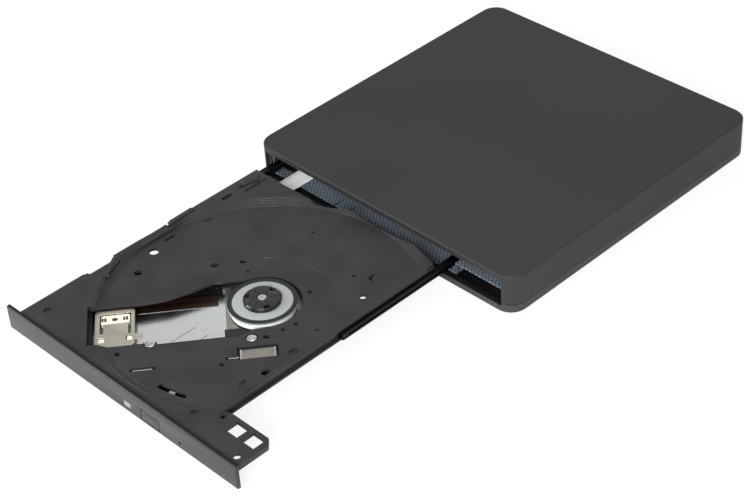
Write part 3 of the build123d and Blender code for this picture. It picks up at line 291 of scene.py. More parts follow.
def clear_lens(name, colours, roughness, transmission):
    """Optical glass or a frosted lamp window, with a trace of dust in its gloss."""
    material, tree, shader, place = new_finish(name, IOR=1.52, Transmission_Weight=transmission)
    dust = add_node(tree, "TexNoise", {"Scale": per_metre(0.6), "Detail": 3.0}, {"Vector": place})
    surface(tree, shader, dust.outputs["Fac"], colours, dust.outputs["Fac"],
            (roughness, roughness + 0.05), dust.outputs["Fac"], 0.002)
    return material


def build_finishes(look):
    """All the finishes of the drive, by the name of what they are on."""
    case = tuple(look.case_low), tuple(look.case_high)
    tray = tuple(look.tray_low), tuple(look.tray_high)
    # The light tone comes first, because the pattern is lowest at a flake's middle.
    bezel = tuple(look.bezel_high), tuple(look.bezel_low)
    return {
        # Sprayed lacquer on ABS: near black and even, with a wide low sheen
        "case_shell": lacquered_shell("satin_lacquered_abs", case, 0.58),
        # Bare moulding under the seam: a shade greyer than the lacquer
        "case_base": moulded_plastic("moulded_abs", ("#2f2f31", "#37373a"), 0.5, 0.4, 0.012),
        # Flake paint on the front: dark, but it lifts to grey towards the light
        "bezel": metallic_paint("metallic_painted_abs", bezel, 0.34),
        # Unpainted backs and insides: flat black
        "bezel_back": moulded_plastic("unpainted_black_abs", ("#0b0b0c", "#111112"), 0.5, 0.5,
                                      0.01, 0.2),
        # Glass fibre leaves the moulding dull, with a tone that drifts
        "tray": moulded_plastic("glass_filled_polycarbonate", tray, 0.52, 0.55, 0.02),
        # Where the mould is polished: thin glossy lines
        "tray_gloss": moulded_plastic("polished_polycarbonate", ("#1c1c1e", "#29292b"), 0.26, 0.6,
                                      0.004, 0.6),
        # Slippery acetal mouldings: black with a waxy gloss
        "frame": moulded_plastic("black_acetal", ("#131314", "#1b1b1c"), 0.42, 0.4, 0.01),
        # Galvanised pan, rolled with dimples: blue-grey, with pale dots on dark painted as the
        # dimples' highlights
        "chassis": dimpled_steel("dimpled_galvanised_steel", ("#4a525a", "#8a959f"), 0.4, 2.0,
                                 0.01, 0.35, (0.5, 1.0)),
        # Plain galvanised sheet: cloudy blue-grey
        "lid": sheet_steel("galvanised_steel", ("#8b9196", "#a3a9ad"), 0.38),
        # Bright plated sheet with fine dimples: the lightest metal on the drive, with paler dots
        # painted as the dimples' highlights
        "shield": dimpled_steel("bright_dimpled_steel", ("#cdcfd0", "#fafafa"), 0.2, 0.95, 0.0035,
                                1.0, (0.2, 0.85)),
        # Chemically blackened rolled strip: dark, with a metal's sheen along its length
        "rail": sheet_steel("blackened_steel_rail", ("#17181a", "#232426"), 0.4),
        # Zinc plate: warm grey and softly streaked
        "zinc": sheet_steel("zinc_plated_steel", ("#96938b", "#a5a29a"), 0.36),
        # Nickel plate on turned parts: light and sharp
        "nickel": sheet_steel("nickel_plated_steel", ("#b9b9b6", "#d8d7d3"), 0.24),
        # Blackened screws: dark metal
        "black_screw": sheet_steel("blackened_steel", ("#26272a", "#3a3b3e"), 0.4),
        # Moulded feet: dull black
        "foot": cast_rubber("foot_rubber", ("#101011", "#191919")),
        # Silicone grip ring: dull, a trace bluer than the feet
        "ring": cast_rubber("silicone_rubber", ("#16191b", "#202426")),
        # Moulded disc rest: pale neutral grey
        "platter": moulded_plastic("pale_grey_acetal", ("#888c8d", "#949899"), 0.4, 0.6, 0.008),
        # Coated motor cup: white, with a clean highlight
        "rotor": moulded_plastic("white_coated_motor_cup", ("#f4f5f6", "#ffffff"), 0.3, 0.8,
                                 0.003, 0.5),
        # Polished mould for the hub: black and glossy
        "hub": moulded_plastic("black_polycarbonate", ("#0d0e0f", "#141617"), 0.26, 0.5, 0.004,
                               0.5),
        # Rolled nickel silver: warm beige metal, streaked across the pickup
        "cover": sheet_steel("nickel_silver_sheet", ("#b9b4a7", "#c5c0b3"), 0.36, 0.6,
                             PICKUP_TURN),
        # Natural liquid crystal polymer: cream and dull
        "carrier": moulded_plastic("cream_liquid_crystal_polymer", ("#cfc9b8", "#e0dacb"), 0.42,
                                   0.4, 0.01),
        # Die-cast base: darker and rougher than rolled sheet
        "sled": sheet_steel("die_cast_zinc", ("#5c5a54", "#74716a"), 0.45),
        # Natural acetal: off-white with a waxy gloss
        "nut": moulded_plastic("white_acetal", ("#d6d5cf", "#e6e5df"), 0.4, 0.4, 0.008),
        # Solder mask over copper: glossy green
        "board": circuit_board("green_circuit_board", ("#1f3e2a", "#356447")),
        # Transfer-moulded epoxy: matt black
        "chip": moulded_plastic("epoxy_chip_body", ("#101011", "#171718"), 0.55, 0.3, 0.01),
        # Moulded connector bodies: black with a soft gloss
        "connector": moulded_plastic("black_nylon", ("#151516", "#1e1e20"), 0.45, 0.4, 0.01),
        # Wound wire: copper under clear enamel
        "coil": sheet_steel("enamelled_copper_coil", ("#9a5a2a", "#b9743c"), 0.35, 0.25),
        # Varnish over the coils' ends: dark brown and glossy
        "coil_dark": moulded_plastic("varnished_coil_end", ("#241b14", "#3a2b1f"), 0.4, 0.3, 0.01),
        # Laminated polyester film: white and smooth
        "ribbon": ribbon_film("white_flat_cable", ("#f4f6f7", "#fefefe"), 0.3, 1.0),
        # Polyimide over copper, darkened to a near black brown: painted shade for the shadow it
        # lies in. The film itself is amber
        "amber": ribbon_film("amber_polyimide_in_painted_shade", ("#0c0808", "#1f110a"), 0.34, 0.6,
                             -math.pi / 2 - PICKUP_TURN),
        # Coated glass: dark blue and sharp
        "lens": clear_lens("coated_optical_glass", ("#2b2f3a", "#373c4a"), 0.04, 0.3),
        # Frosted window over the lamp: pale grey and soft
        "lamp": clear_lens("frosted_lamp_window", ("#87827f", "#9a9593"), 0.4, 0.2),
    }


# The finish of each CAD node, which a copy that takes the node's place has too
NODE_FINISHES = {
    "rubber_feet": "foot", "case_screws": "black_screw", "chassis_screws": "black_screw",
    "drive_chassis": "chassis", "drive_top_plate": "lid", "left_rail_guide": "frame",
    "right_rail_guide": "frame", "main_board": "board", "main_board_chips": "chip",
    "drive_connector": "connector", "bridge_board": "board", "bridge_chips": "chip",
    "bridge_connector": "connector", "socket_shell": "nickel", "socket_tongue": "connector",
    "latch_post": "nickel", "flex_cable": "ribbon", "flex_connector": "connector",
    "left_rail": "rail", "right_rail": "rail", "led_lens": "lamp", "tray_shield": "shield",
    "tray_screws": "nickel", "traverse_frame": "frame", "guide_rods": "nickel",
    "damper_grommets": "ring", "damper_screws": "nickel", "motor_plate": "zinc",
    "sled_motor": "zinc", "lead_screw_bracket": "frame", "tray_board": "board",
    "tray_board_connector": "connector", "eject_switch": "connector", "latch_pin": "nickel",
    "latch_solenoid": "coil", "pickup_flex": "amber", "rotor": "rotor", "disc_platter": "platter",
    "rubber_ring": "ring", "hub": "hub", "chuck_balls": "hub", "hub_screw": "nickel",
    "sled_base": "sled", "drive_nut": "nut", "lens_magnets": "nickel", "lens_holder": "carrier",
    "lens": "lens", "lead_screw": "nickel", "latch_lever": "nut", "top_cover": "case_shell",
    "bottom_cover": "case_base", "tray": "tray", "front_bezel": "bezel", "eject_button": "bezel",
    "pickup_cover": "cover",
}

# Filled by the first operator
FINISHES = {}


# Working on pieces


def only(piece):
    """Leaves one piece selected and active."""
    bpy.ops.object.select_all(action="DESELECT")
    piece.select_set(True)
    bpy.context.view_layer.objects.active = piece


@contextlib.contextmanager
def editing(piece):
    """Edit mode on one piece, which starts with its whole mesh selected."""
    only(piece)
    bpy.ops.object.mode_set(mode="EDIT")
    bpy.ops.mesh.select_all(action="SELECT")
    yield
    bpy.ops.object.mode_set(mode="OBJECT")


def wear(piece, finish):
    """Puts a finish in every slot of a piece."""
    material = FINISHES[finish]
    if not piece.material_slots:
        piece.data.materials.append(material)
    for place in piece.material_slots:
        place.material = material


def edge_mm(name):
    """One of the panel's edge radii, in mm."""
    return getattr(bpy.context.scene.drive_sizes, name) / MM


def rounded_copy(node, name, radius_mm, angle=35.0, shortest_mm=0.0, smooth=18.0, share=None):
    """A merged copy of a node with softened edges, which takes the node's place and finish.

    Edges shorter than shortest_mm stay sharp, because their neighbours leave no room for a bevel.
    share gives the part of the radius that an edge takes, from the edge's middle.
    """
    source = nodes[node]
    piece = bpy.data.objects.new(name, source.data.copy())
    bpy.context.scene.collection.objects.link(piece)
    only(piece)
    bpy.ops.mesh.customdata_custom_splitnormals_clear()
    with editing(piece):
        bpy.ops.mesh.remove_doubles(threshold=0.002 * MM)
        bpy.ops.mesh.dissolve_limited(angle_limit=math.radians(0.6))
    mark_edges(piece, math.radians(angle), shortest_mm * MM, share)
    bevel = piece.modifiers.new("edges", "BEVEL")
    bevel.width = radius_mm * MM
    bevel.segments = 3
    bevel.limit_method = "WEIGHT"
    bevel.use_clamp_overlap = False
    bpy.ops.object.modifier_apply(modifier="edges")
    bpy.ops.object.shade_smooth_by_angle(angle=math.radians(smooth))
    wear(piece, NODE_FINISHES[node])
    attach(piece, source["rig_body"])
    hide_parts(node)
    return piece


def mark_edges(piece, angle, shortest, share):
    """Gives bevel weight to the outward sharp edges that are long enough."""
    shape = bmesh.new()
    shape.from_mesh(piece.data)
    layers = shape.edges.layers.float
    weight = layers.get("bevel_weight_edge") or layers.new("bevel_weight_edge")
    for edge in shape.edges:
        sharp = len(edge.link_faces) == 2 and edge.is_convex and edge.calc_face_angle() > angle
        part = share((edge.verts[0].co + edge.verts[1].co) / 2) if share else 1.0
        edge[weight] = part if sharp and edge.calc_length() >= shortest else 0.0
    shape.to_mesh(piece.data)
    shape.free()


def settle(piece, name, body, finish):
    """Names a new piece, puts its place in its mesh, and hands it to a body."""
    piece.name = name
    piece.data.name = name
    only(piece)
    bpy.ops.object.transform_apply(location=True, rotation=True, scale=True)
    wear(piece, finish)
    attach(piece, body)
    return piece


def start_from(add_primitive, place, turn=0.0, tilt=0.0, scale=(1, 1, 1), **shape):
    """Adds a primitive with nothing else selected, and puts its place and size in its mesh."""
    bpy.ops.object.select_all(action="DESELECT")
    add_primitive(location=place, rotation=(tilt, 0, turn), **shape)
    piece = bpy.context.active_object
    only(piece)
    piece.scale = scale
    bpy.ops.object.transform_apply(location=True, rotation=True, scale=True)
    return piece


def pick_faces(piece, test):
    """In edit mode, selects the faces that pass a test on their centre and normal."""
    bpy.ops.mesh.select_mode(type="FACE")
    bpy.ops.mesh.select_all(action="DESELECT")
    shape = bmesh.from_edit_mesh(piece.data)
    for face in shape.faces:
        if test(face.calc_center_median(), face.normal):
            face.select = True
    shape.select_flush_mode()
    bmesh.update_edit_mesh(piece.data)


def pick_edges(piece, test):
    """In edit mode, selects the edges whose both ends pass a test."""
    bpy.ops.mesh.select_mode(type="EDGE")
    bpy.ops.mesh.select_all(action="DESELECT")
    shape = bmesh.from_edit_mesh(piece.data)
    for edge in shape.edges:
        if all(test(corner.co) for corner in edge.verts):
            edge.select = True
    shape.select_flush_mode()
    bmesh.update_edit_mesh(piece.data)


def blacken(piece, test):
    """Leaves the faces that pass a test in bare black plastic."""
    piece.data.materials.append(FINISHES["bezel_back"])
    with editing(piece):
        pick_faces(piece, test)
        piece.active_material_index = 1
        bpy.ops.object.material_slot_assign()


def cut_out(piece, tool):
    """Cuts one piece out of another and removes the cutter."""
    cut = piece.modifiers.new("cut", "BOOLEAN")
    cut.object = tool
    cut.operation = "DIFFERENCE"
    cut.solver = "EXACT"
    only(piece)
    bpy.ops.object.modifier_apply(modifier="cut")
    bpy.data.objects.remove(tool)


def drill(piece, place, radius_mm, depth_mm):
    """A blind hole straight down from a point on the surface."""
    bpy.ops.object.select_all(action="DESELECT")
    bpy.ops.mesh.primitive_cylinder_add(vertices=20, radius=radius_mm * MM,
                                        depth=2 * depth_mm * MM, location=place)
    cut_out(piece, bpy.context.active_object)


def edge_round(piece, radius_mm, angle):
    """Rounds a new piece's edges that are sharper than the angle."""
    bevel = piece.modifiers.new("edges", "BEVEL")
    bevel.width = radius_mm * MM
    bevel.segments = 2
    bevel.limit_method = "ANGLE"
    bevel.angle_limit = math.radians(angle)
    only(piece)
    bpy.ops.object.modifier_apply(modifier="edges")
    bpy.ops.object.shade_smooth_by_angle(angle=math.radians(30.0))


def cross_screw(place, radius, height, turn):
    """A dome-headed screw with a shank and a cross recess, its head's foot at the given place."""
    shank_length = 1.4 * MM
    # Steps from rim to crown: how far in, as a part of the radius, and how far up, of the height
    dome = ((0.14, 0.2), (0.22, 0.13), (0.22, 0.06))
    # The recess cutter's middle over the head's foot, in heights. It only dips into the dome.
    recess_lift = 1.72
    bpy.ops.object.select_all(action="DESELECT")
    bpy.ops.mesh.primitive_cylinder_add(vertices=40, radius=radius, depth=height,
                                        location=place + Vector((0, 0, height / 2)),
                                        rotation=(0, 0, turn))
    piece = bpy.context.active_object
    with editing(piece):
        pick_faces(piece, lambda centre, normal: normal.z < -0.9)
        bpy.ops.mesh.inset(thickness=radius * 0.55)
        bpy.ops.mesh.extrude_region_move(TRANSFORM_OT_translate={"value": (0, 0, -shank_length)})
        pick_faces(piece, lambda centre, normal: normal.z > 0.9)
        for step, rise in dome:
            bpy.ops.mesh.inset(thickness=radius * step)
            bpy.ops.transform.translate(value=(0, 0, height * rise))
    for along in (0.0, math.pi / 2):
        bpy.ops.object.select_all(action="DESELECT")
        bpy.ops.mesh.primitive_cube_add(size=1, rotation=(0, 0, turn + along),
                                        location=place + Vector((0, 0, height * recess_lift)),
                                        scale=(radius * 0.8, radius * 0.16, height))
        cut_out(piece, bpy.context.active_object)
    edge_round(piece, radius * 0.04 / MM, 40.0)
    return piece


def bead(name, ring_mm, start_deg, end_deg, z_mm, thickness_mm, body="tray", finish="tray_gloss",
         lead_mm=0.0):
    """A fine raised line about the spindle, spun from a small circle.

    lead_mm is the length of a straight run-in before it, where there is one.
    """
    start = math.radians(start_deg)
    outward = Vector((math.cos(start), math.sin(start), 0))
    run_in = Vector((math.sin(start), -math.cos(start), 0)) * lead_mm * MM
    hub = Vector((SPINDLE.x, SPINDLE.y, z_mm * MM))
    degrees_a_step = 2.5
    piece = start_from(bpy.ops.mesh.primitive_circle_add, hub + outward * ring_mm * MM - run_in,
                       start, math.pi / 2, vertices=8, radius=thickness_mm / 2 * MM)
    with editing(piece):
        if lead_mm:
            bpy.ops.mesh.extrude_region_move(TRANSFORM_OT_translate={"value": run_in})
        # Spin turns the other way round a vertical axis, so the sweep is taken backwards.
        bpy.ops.mesh.spin(steps=max(6, round(abs(end_deg - start_deg) / degrees_a_step)),
                          angle=math.radians(start_deg - end_deg), center=hub, axis=(0, 0, 1))
        bpy.ops.mesh.select_all(action="SELECT")
        bpy.ops.mesh.remove_doubles(threshold=0.005 * MM)
        bpy.ops.mesh.fill_holes(sides=0)
        bpy.ops.mesh.select_all(action="SELECT")
        bpy.ops.mesh.normals_make_consistent(inside=False)
    bpy.ops.object.shade_smooth_by_angle(angle=math.radians(50))
    return settle(piece, name, body, finish)


def raised_bar(name, place, size_mm, turn, finish, body, round_mm=0.15):
    """A small bar with a crowned top and rounded edges, given by its middle, size and turn."""
    # The crown: how far in, as a part of the narrower side, and how far up, of the height
    crown_inset, crown_rise = 0.22, 0.08
    piece = start_from(bpy.ops.mesh.primitive_cube_add, place, turn, scale=mm(*size_mm), size=1)
    with editing(piece):
        pick_faces(piece, lambda centre, normal: normal.z > 0.9)
        bpy.ops.mesh.inset(thickness=min(size_mm[:2]) * crown_inset * MM)
        bpy.ops.transform.translate(value=(0, 0, size_mm[2] * crown_rise * MM))
    edge_round(piece, round_mm, 30.0)
    return settle(piece, name, body, finish)


class DriveLook(bpy.types.PropertyGroup):
    """Colours of the drive's plastic shells"""

    case_low: FloatVectorProperty(
        name="Case, dark tone", description="Darker tone of the case",
        subtype="COLOR", size=4, min=0.0, max=1.0, default=linear("#232324"))
    case_high: FloatVectorProperty(
        name="Case, light tone", description="Lighter tone of the case",
        subtype="COLOR", size=4, min=0.0, max=1.0, default=linear("#2a2a2b"))
    tray_low: FloatVectorProperty(
        name="Tray, dark tone", description="Darker tone of the tray",
        subtype="COLOR", size=4, min=0.0, max=1.0, default=linear("#1c1c1e"))
    tray_high: FloatVectorProperty(
        name="Tray, light tone", description="Lighter tone of the tray",
        subtype="COLOR", size=4, min=0.0, max=1.0, default=linear("#2b2b2d"))
    bezel_low: FloatVectorProperty(
        name="Bezel, dark tone", description="Darker tone of the bezel",
        subtype="COLOR", size=4, min=0.0, max=1.0, default=linear("#28282b"))
    bezel_high: FloatVectorProperty(
        name="Bezel, light tone", description="Lighter tone of the bezel",
        subtype="COLOR", size=4, min=0.0, max=1.0, default=linear("#39393d"))


class DriveSizes(bpy.types.PropertyGroup):
    """Edge radii of the drive's pieces"""

    case_edge: FloatProperty(
        name="Case edge", description="Edge radius of the case's shells",
        unit="LENGTH", precision=5, min=0.00005, default=0.0003)
    bezel_edge: FloatProperty(
        name="Bezel edge", description="Radius of the bezel's outline",
        unit="LENGTH", precision=5, min=0.00005, default=0.00035)
    tray_edge: FloatProperty(
        name="Tray edge", description="Edge radius of the tray and the button",
        unit="LENGTH", precision=5, min=0.00002, default=0.00008)
    small_edge: FloatProperty(
        name="Small edge", description="Edge radius of the small parts",
        unit="LENGTH", precision=5, min=0.00001, default=0.00006)


class DRIVE_OT_finishes(bpy.types.Operator):
    """Make the finishes and put them on the nodes"""

    bl_idname = "drive.finishes"
    bl_label = "Finishes"

    def execute(self, context):
        FINISHES.update(build_finishes(context.scene.drive_look))
        for node, finish in NODE_FINISHES.items():
            wear(nodes[node], finish)
        return {"FINISHED"}


class DRIVE_OT_case(bpy.types.Operator):
    """Soften the edges of the case's two shells and of the screws and feet under them"""

    bl_idname = "drive.case"
    bl_label = "Case"

    def execute(self, context):
        # Half the width and half the depth inside the walls, in mm
        inner_x, inner_y = 70.5, 72.6
        rounded_copy("top_cover", "case_top_shell", edge_mm("case_edge"), 60.0, 1.0, 24.0)
        base = rounded_copy("bottom_cover", "case_bottom_shell", edge_mm("case_edge"), 60.0, 1.0,
                            24.0)
        blacken(base, lambda centre, normal: normal.z > 0.3 and abs(centre.x) < inner_x * MM
                and abs(centre.y) < inner_y * MM)
        rounded_copy("rubber_feet", "case_feet", 0.3, 40.0, 0.3, 30.0)
        rounded_copy("case_screws", "case_screw_heads", edge_mm("small_edge"), 40.0, 0.2, 30.0)
        return {"FINISHED"}


class DRIVE_OT_inner_drive(bpy.types.Operator):
    """Soften the inner drive's pan and add its flat cable and the black strip beside it"""

    bl_idname = "drive.inner_drive"
    bl_label = "Inner drive"

    def execute(self, context):
        rounded_copy("drive_chassis", "pressed_pan", 0.1, 60.0, 1.0, 24.0)
        self.cable()
        raised_bar("left_slide_strip", mm(-60.3, -9.0, 5.6), (6.2, 116.0, 0.4), 0.0, "bezel_back",
                   "case", 0.1)
        return {"FINISHED"}

    def cable(self):
        """Flat cable: along the pan, up in two soft bends, and forward to the tray."""
        low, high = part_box("flex_cable")
        fold = -83.8 * MM
        sheet = 0.2 * MM
        piece = start_from(
            bpy.ops.mesh.primitive_plane_add,
            ((low.x + high.x) / 2, (high.y + fold) / 2, low.z + sheet / 2),
            scale=(high.x - low.x, high.y - fold, 1), size=1)
        # Each bend takes two steps and half of 1 mm of the rise. The wall between takes the rest.
        bend = [mm(0, -0.35, 0.15), mm(0, -0.2, 0.35)]
        wall_rise = high.z - low.z - sheet - 1.0 * MM
        to_tray = low.y - fold + 1.1 * MM
        steps = bend + [Vector((0, 0, wall_rise))] + bend[::-1] + [Vector((0, to_tray, 0))]
        with editing(piece):
            pick_edges(piece, lambda corner: corner.y < fold + 0.1 * MM)
            for step in steps:
                bpy.ops.mesh.extrude_region_move(TRANSFORM_OT_translate={"value": step})
            bpy.ops.mesh.select_all(action="SELECT")
            bpy.ops.mesh.normals_make_consistent(inside=False)
        film = piece.modifiers.new("film", "SOLIDIFY")
        film.thickness = sheet
        film.offset = 0.0
        bpy.ops.object.modifier_apply(modifier="film")
        bpy.ops.object.shade_smooth_by_angle(angle=math.radians(40))
        settle(piece, "flat_cable", "case", "ribbon")
        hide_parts("flex_cable")
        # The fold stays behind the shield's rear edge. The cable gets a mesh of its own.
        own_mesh(piece)


class DRIVE_OT_bezel(bpy.types.Operator):
    """Round the bezel's outline, leave its back black and soften its button"""

    bl_idname = "drive.bezel"
    bl_label = "Bezel"

    def execute(self, context):
        low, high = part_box("front_bezel")
        black_from = high.y - 4.1 * MM

        def share(place):
            """Full radius on the bezel's outline, little of it round the openings."""
            side = min(high.x - place.x, place.x - low.x, high.z - place.z, place.z - low.z)
            return 1.0 if side < 0.05 * MM else 0.15

        bezel = rounded_copy("front_bezel", "bezel_front", edge_mm("bezel_edge"), 40.0, 0.5, 24.0,
                             share)
        # The front and the ends are painted. The top, the bottom and the back stay black.
        blacken(bezel, lambda centre, normal: normal.y > -0.2 and centre.y > black_from
                and abs(normal.x) < 0.9)
        rounded_copy("eject_button", "bezel_button", edge_mm("tray_edge"))
        return {"FINISHED"}


class DRIVE_OT_tray(bpy.types.Operator):
    """Soften the tray's edges and add its fine beads and raised bars"""

    bl_idname = "drive.tray"
    bl_label = "Tray"

    def execute(self, context):
        rounded_copy("tray", "disc_tray", edge_mm("tray_edge"), 40.0, 0.4)
        self.beads()
        self.bars()
        return {"FINISHED"}

    def beads(self):
        """One fine line on the recess's floor, and four up the slope of its rim."""
        bead("recess_floor_bead", 27.0, 140.0, -40.0, 11.39, 0.22, lead_mm=55.3)
        # Radius and height in mm
        rings = ((61.1, 11.46), (62.3, 12.06), (63.4, 12.6), (64.4, 13.12))
        for index, (ring, z) in enumerate(rings):
            # Each bead stops at the pickup's opening. The middle two have no arc at the front,
            # and the outer two also stop at the notches in the left edge.
            spans = [(58.5, 71.0)] if index in (1, 2) else [(58.5, 71.0), (247.5, 300.0)]
            spans += [(124.0, 216.0)] if index < 2 else [(124.0, 156.0), (203.0, 216.0)]
            for part, (start, end) in enumerate(spans):
                bead(f"rim_bead_{index + 1}_{part + 1}", ring, start, end, z, 0.2)

    def bars(self):
        """Bars along the left edge, which keep a disc in when the drive stands upright."""
        # Name, middle and size in mm, turn in degrees, finish, and edge radius in mm
        for name, middle, size, turn, finish, radius in (
            ("left_front_bar", (-56.2, -164.2, 13.4), (12.2, 1.9, 0.8), -57.0, "tray", 0.3),
            ("left_front_nub", (-52.3, -168.3, 13.5), (1.3, 1.3, 0.7), -57.0, "tray_gloss", 0.3),
            ("left_middle_bar", (-60.9, -123.9, 13.4), (2.2, 12.0, 0.8), 1.5, "tray", 0.3),
            ("left_middle_tip", (-60.7, -130.2, 13.3), (1.6, 1.4, 0.6), 1.5, "tray_gloss", 0.2),
            ("tongue_bar", (-57.8, -89.8, 13.45), (2.7, 8.0, 0.55), -14.0, "tray", 0.25),
            ("tongue_bump", (-58.7, -93.3, 13.55), (2.6, 1.3, 0.6), -14.0, "tray_gloss", 0.3),
        ):
            raised_bar(name, mm(*middle), size, math.radians(turn), finish, "tray",
                       radius)


class DRIVE_OT_turntable(bpy.types.Operator):
    """Soften the turntable's parts, drill its hub and add fine rings to its rubber"""

    bl_idname = "drive.turntable"
    bl_label = "Turntable"

    def execute(self, context):
        edge = edge_mm("small_edge")
        for node in ("disc_platter", "rubber_ring", "rotor"):
            rounded_copy(node, f"turntable_{node}", edge, smooth=30.0)
        hub = rounded_copy("hub", "turntable_hub", 0.2, 50.0, 0.9, 24.0)
        # Number of holes, distance from the spindle in mm, first heading, and radius in mm
        for count, outward, first, radius in ((6, 3.4, 45, 0.32), (3, 5.0, 50, 0.42)):
            for step in range(count):
                turn = math.radians(first + 360 / count * step)
                across = Vector((math.cos(turn), math.sin(turn), 0)) * outward * MM
                drill(hub, Vector((SPINDLE.x, SPINDLE.y, hub_high.z)) + across, radius, 0.35)
        rounded_copy("hub_screw", "turntable_screw", edge, 40.0, 0.2, 30.0)
        for index, ring in enumerate((12.15, 12.75, 13.2)):
            bead(f"rubber_ring_line_{index + 1}", ring, 0.0, 360.0, 12.0, 0.1, "turntable", "ring")
        return {"FINISHED"}


class DRIVE_OT_pickup(bpy.types.Operator):
    """Soften the pickup's cover and lens carrier and add its blocks, coil ends, and a black strip
    that paints the shade by the tray's far edge
    """

    bl_idname = "drive.pickup"
    bl_label = "Pickup"

    def execute(self, context):
        for node in ("pickup_cover", "lens_holder"):
            rounded_copy(node, f"pickup_{node}", edge_mm("small_edge"))
        blocks = ((61.1, 11.8, (2.5, 2.6, 0.6)), (50.3, 11.5, (2.3, 2.6, 0.6)))
        for index, (outward, across, size) in enumerate(blocks):
            raised_bar(f"adjusting_block_{index + 1}", from_spindle(outward, across, 9.75), size,
                       PICKUP_TURN, "carrier", "sled")
        for index, outward in enumerate((51.45, 52.55, 59.65, 60.75)):
            raised_bar(f"coil_end_{index + 1}", from_spindle(outward, -0.2, 10.3),
                       (0.7, 1.9, 0.24), PICKUP_TURN, "coil_dark", "lens", 0.08)
        # A thin black sheet on the shield where the tray's far edge shades it: painted shade
        raised_bar("painted_shade_strip", from_spindle(23.7, -16.8, 6.42), (20.5, 4.4, 0.16), PICKUP_TURN,
                   "bezel_back", "tray", 0.05)
        return {"FINISHED"}


class DRIVE_OT_sled_motor(bpy.types.Operator):
    """Soften and dimple the sled motor, add the bright metal round it, and a bright strip that
    paints the highlight on the lead screw's end
    """

    bl_idname = "drive.sled_motor"
    bl_label = "Sled motor"

    def execute(self, context):
        motor = rounded_copy("sled_motor", "sled_motor_can", 0.2)
        drill(motor, from_spindle(3.2, 28.6, 10.6), 0.45, 0.3)
        # Name, middle along and across the pickup's travel and in height, and size, all in mm
        for name, middle, size in (
            ("motor_end_cap_1", (9.45, 28.5, 10.55), (0.75, 5.4, 0.5)),
            ("motor_end_cap_2", (-3.15, 28.5, 10.55), (0.75, 5.4, 0.5)),
            ("motor_lug", (12.2, 30.3, 10.8), (4.0, 0.7, 0.3)),
            # A thin bright strip over the lead screw's end: a painted highlight for the light line
            # along the screw's top
            ("lead_screw_painted_highlight", (45.6, 31.7, 10.8), (7.2, 0.6, 0.3)),
        ):
            raised_bar(name, from_spindle(*middle), size, PICKUP_TURN, "nickel", "tray",
                       0.1)
        return {"FINISHED"}


class DRIVE_OT_latch(bpy.types.Operator):
    """Add the tip of the latch lever, which shows through the curved slot"""

    bl_idname = "drive.latch"
    bl_label = "Latch lever"

    def execute(self, context):
        raised_bar("latch_lever_tip", mm(13.7, -192.1, 8.35), (2.4, 1.8, 0.8), 0.3, "nut",
                   "latch_lever", 0.2)
        return {"FINISHED"}


class DRIVE_OT_shield(bpy.types.Operator):
    """Add the two creases in the bright shield under the pickup"""

    bl_idname = "drive.shield"
    bl_label = "Shield"

    def execute(self, context):
        crease_turn = PICKUP_TURN + math.radians(38.4)
        creases = ((30.8, 8.4, 12.4), (23.0, 11.2, 3.6))
        for index, (outward, across, length) in enumerate(creases):
            raised_bar(f"shield_crease_{index + 1}", from_spindle(outward, across, 6.3),
                       (length, 0.3, 0.12), crease_turn, "zinc", "tray", 0.04)
        return {"FINISHED"}


class DRIVE_OT_screws(bpy.types.Operator):
    """Make the two dome-headed damper screws"""

    bl_idname = "drive.screws"
    bl_label = "Screws"

    def execute(self, context):
        radius, height, foot = 1.9 * MM, 0.55 * MM, 10.75
        first = cross_screw(from_spindle(42.7, 17.7, foot), radius, height, 0.4)
        second = cross_screw(from_spindle(5.1, 20.5, foot), radius, height, 1.3)
        only(first)
        second.select_set(True)
        bpy.ops.object.join()
        pair = settle(first, "damper_screw_pair", "tray", "nickel")
        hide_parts("damper_screws")
        return {"FINISHED"}


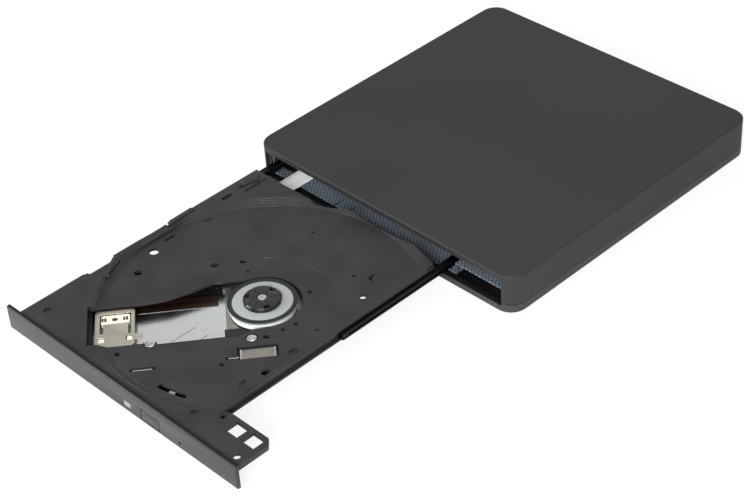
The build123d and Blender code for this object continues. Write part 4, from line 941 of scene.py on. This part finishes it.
class DRIVE_OT_stage(bpy.types.Operator):
    """Set the floor, the lights, the background and the camera"""

    bl_idname = "drive.stage"
    bl_label = "Stage"

    def execute(self, context):
        scene = context.scene
        scene.view_settings.view_transform = "Standard"
        self.floor()
        self.world(scene)
        self.lamps(scene)
        self.camera(scene)
        return {"FINISHED"}

    def floor(self):
        """White paper, which keeps the drive's shadow and still meets the white background."""
        ground = start_from(bpy.ops.mesh.primitive_plane_add, (0, 0, -0.2 * MM), size=6.0)
        ground.name = "studio_floor"
        material = bpy.data.materials.new("white_paper_sweep")
        material.use_nodes = True
        tree = material.node_tree
        tree.nodes.clear()
        paper = add_node(tree, "BsdfDiffuse", {"Color": (0.9, 0.9, 0.9, 1.0)})
        glow = add_node(tree, "Emission", {"Strength": 1.0})
        path = add_node(tree, "LightPath")
        share = add_node(tree, "Math", {"operation": "MULTIPLY", 1: 0.85},
                         {0: path.outputs["Is Camera Ray"]})
        mixed = add_node(tree, "MixShader",
                         links={0: share.outputs[0], 1: paper.outputs[0], 2: glow.outputs[0]})
        add_node(tree, "OutputMaterial", links={"Surface": mixed.outputs[0]})
        ground.data.materials.append(material)

    def world(self, scene):
        """Soft fill on the drive, a grey for its reflections, and white where it is seen."""
        world = bpy.data.worlds.new("studio_world")
        scene.world = world
        world.use_nodes = True
        tree = world.node_tree
        tree.nodes.clear()
        path = add_node(tree, "LightPath")
        seen = add_node(tree, "Math", {"operation": "MAXIMUM"},
                        {0: path.outputs["Is Camera Ray"], 1: path.outputs["Is Transmission Ray"]})
        fill, mirrored, white = (
            add_node(tree, "Background", {"Color": (1, 1, 1, 1), "Strength": strength})
            for strength in (0.45, 0.5, 1.0))
        soft = add_node(tree, "MixShader", links={0: path.outputs["Is Glossy Ray"],
                                                  1: fill.outputs[0], 2: mirrored.outputs[0]})
        mixed = add_node(tree, "MixShader",
                         links={0: seen.outputs[0], 1: soft.outputs[0], 2: white.outputs[0]})
        add_node(tree, "OutputWorld", links={"Surface": mixed.outputs[0]})

    def lamps(self, scene):
        """Four softboxes, all aimed at the middle of the drive."""
        target = Vector((0, -0.08, 0))
        # Name, place and side in metres, and power in watts
        for name, place, side, power in (
            ("rear_softbox", (-1.3, 1.2, 0.75), 1.2, 2.5),
            ("overhead_softbox", (0.0, 0.0, 1.3), 1.0, 4.0),
            ("front_left_softbox", (-0.75, -0.8, 0.62), 0.5, 7.5),
            ("front_right_softbox", (0.55, -0.85, 0.58), 0.35, 15.0),
        ):
            lamp = bpy.data.lights.new(name, "AREA")
            lamp.size = side
            lamp.energy = power
            holder = bpy.data.objects.new(name, lamp)
            scene.collection.objects.link(holder)
            holder.location = place
            aim = target - holder.location
            holder.rotation_euler = aim.to_track_quat("-Z", "Y").to_euler()

    def camera(self, scene):
        """The camera that was fitted to the photograph."""
        place = (0.450122, -0.485576, 0.464633)
        turn = Matrix(((0.70257, -0.39936, 0.58899),
                       (0.70924, 0.46054, -0.53374),
                       (-0.05810, 0.79273, 0.60680)))
        lens = bpy.data.cameras.new("photo_camera")
        lens.lens = 92.784
        lens.sensor_width = 36.0
        lens.clip_end = 20.0
        eye = bpy.data.objects.new("photo_camera", lens)
        scene.collection.objects.link(eye)
        eye.matrix_world = Matrix.Translation(place) @ turn.to_4x4()
        scene.camera = eye


STEPS = (
    DRIVE_OT_finishes, DRIVE_OT_case, DRIVE_OT_inner_drive, DRIVE_OT_bezel, DRIVE_OT_tray,
    DRIVE_OT_turntable, DRIVE_OT_pickup, DRIVE_OT_sled_motor, DRIVE_OT_latch, DRIVE_OT_shield,
    DRIVE_OT_screws, DRIVE_OT_stage,
)


class DRIVE_PT_panel(bpy.types.Panel):
    """Lists the steps that dress the drive"""

    bl_idname = "DRIVE_PT_panel"
    bl_label = "Disc drive"
    bl_space_type = "VIEW_3D"
    bl_region_type = "UI"
    bl_category = "Disc drive"

    def draw(self, context):
        for group in (context.scene.drive_look, context.scene.drive_sizes):
            for name in group.__annotations__:
                self.layout.prop(group, name)
        for step in STEPS:
            self.layout.operator(step.bl_idname)


CLASSES = (DriveLook, DriveSizes) + STEPS + (DRIVE_PT_panel,)


def register():
    for part in CLASSES:
        bpy.utils.register_class(part)
    bpy.types.Scene.drive_look = PointerProperty(type=DriveLook)
    bpy.types.Scene.drive_sizes = PointerProperty(type=DriveSizes)


def unregister():
    del bpy.types.Scene.drive_sizes
    del bpy.types.Scene.drive_look
    for part in reversed(CLASSES):
        bpy.utils.unregister_class(part)


def main():
    register()
    for step in STEPS:
        group, action = step.bl_idname.split(".")
        getattr(getattr(bpy.ops, group), action)()


if __name__ == "__main__":
    main()
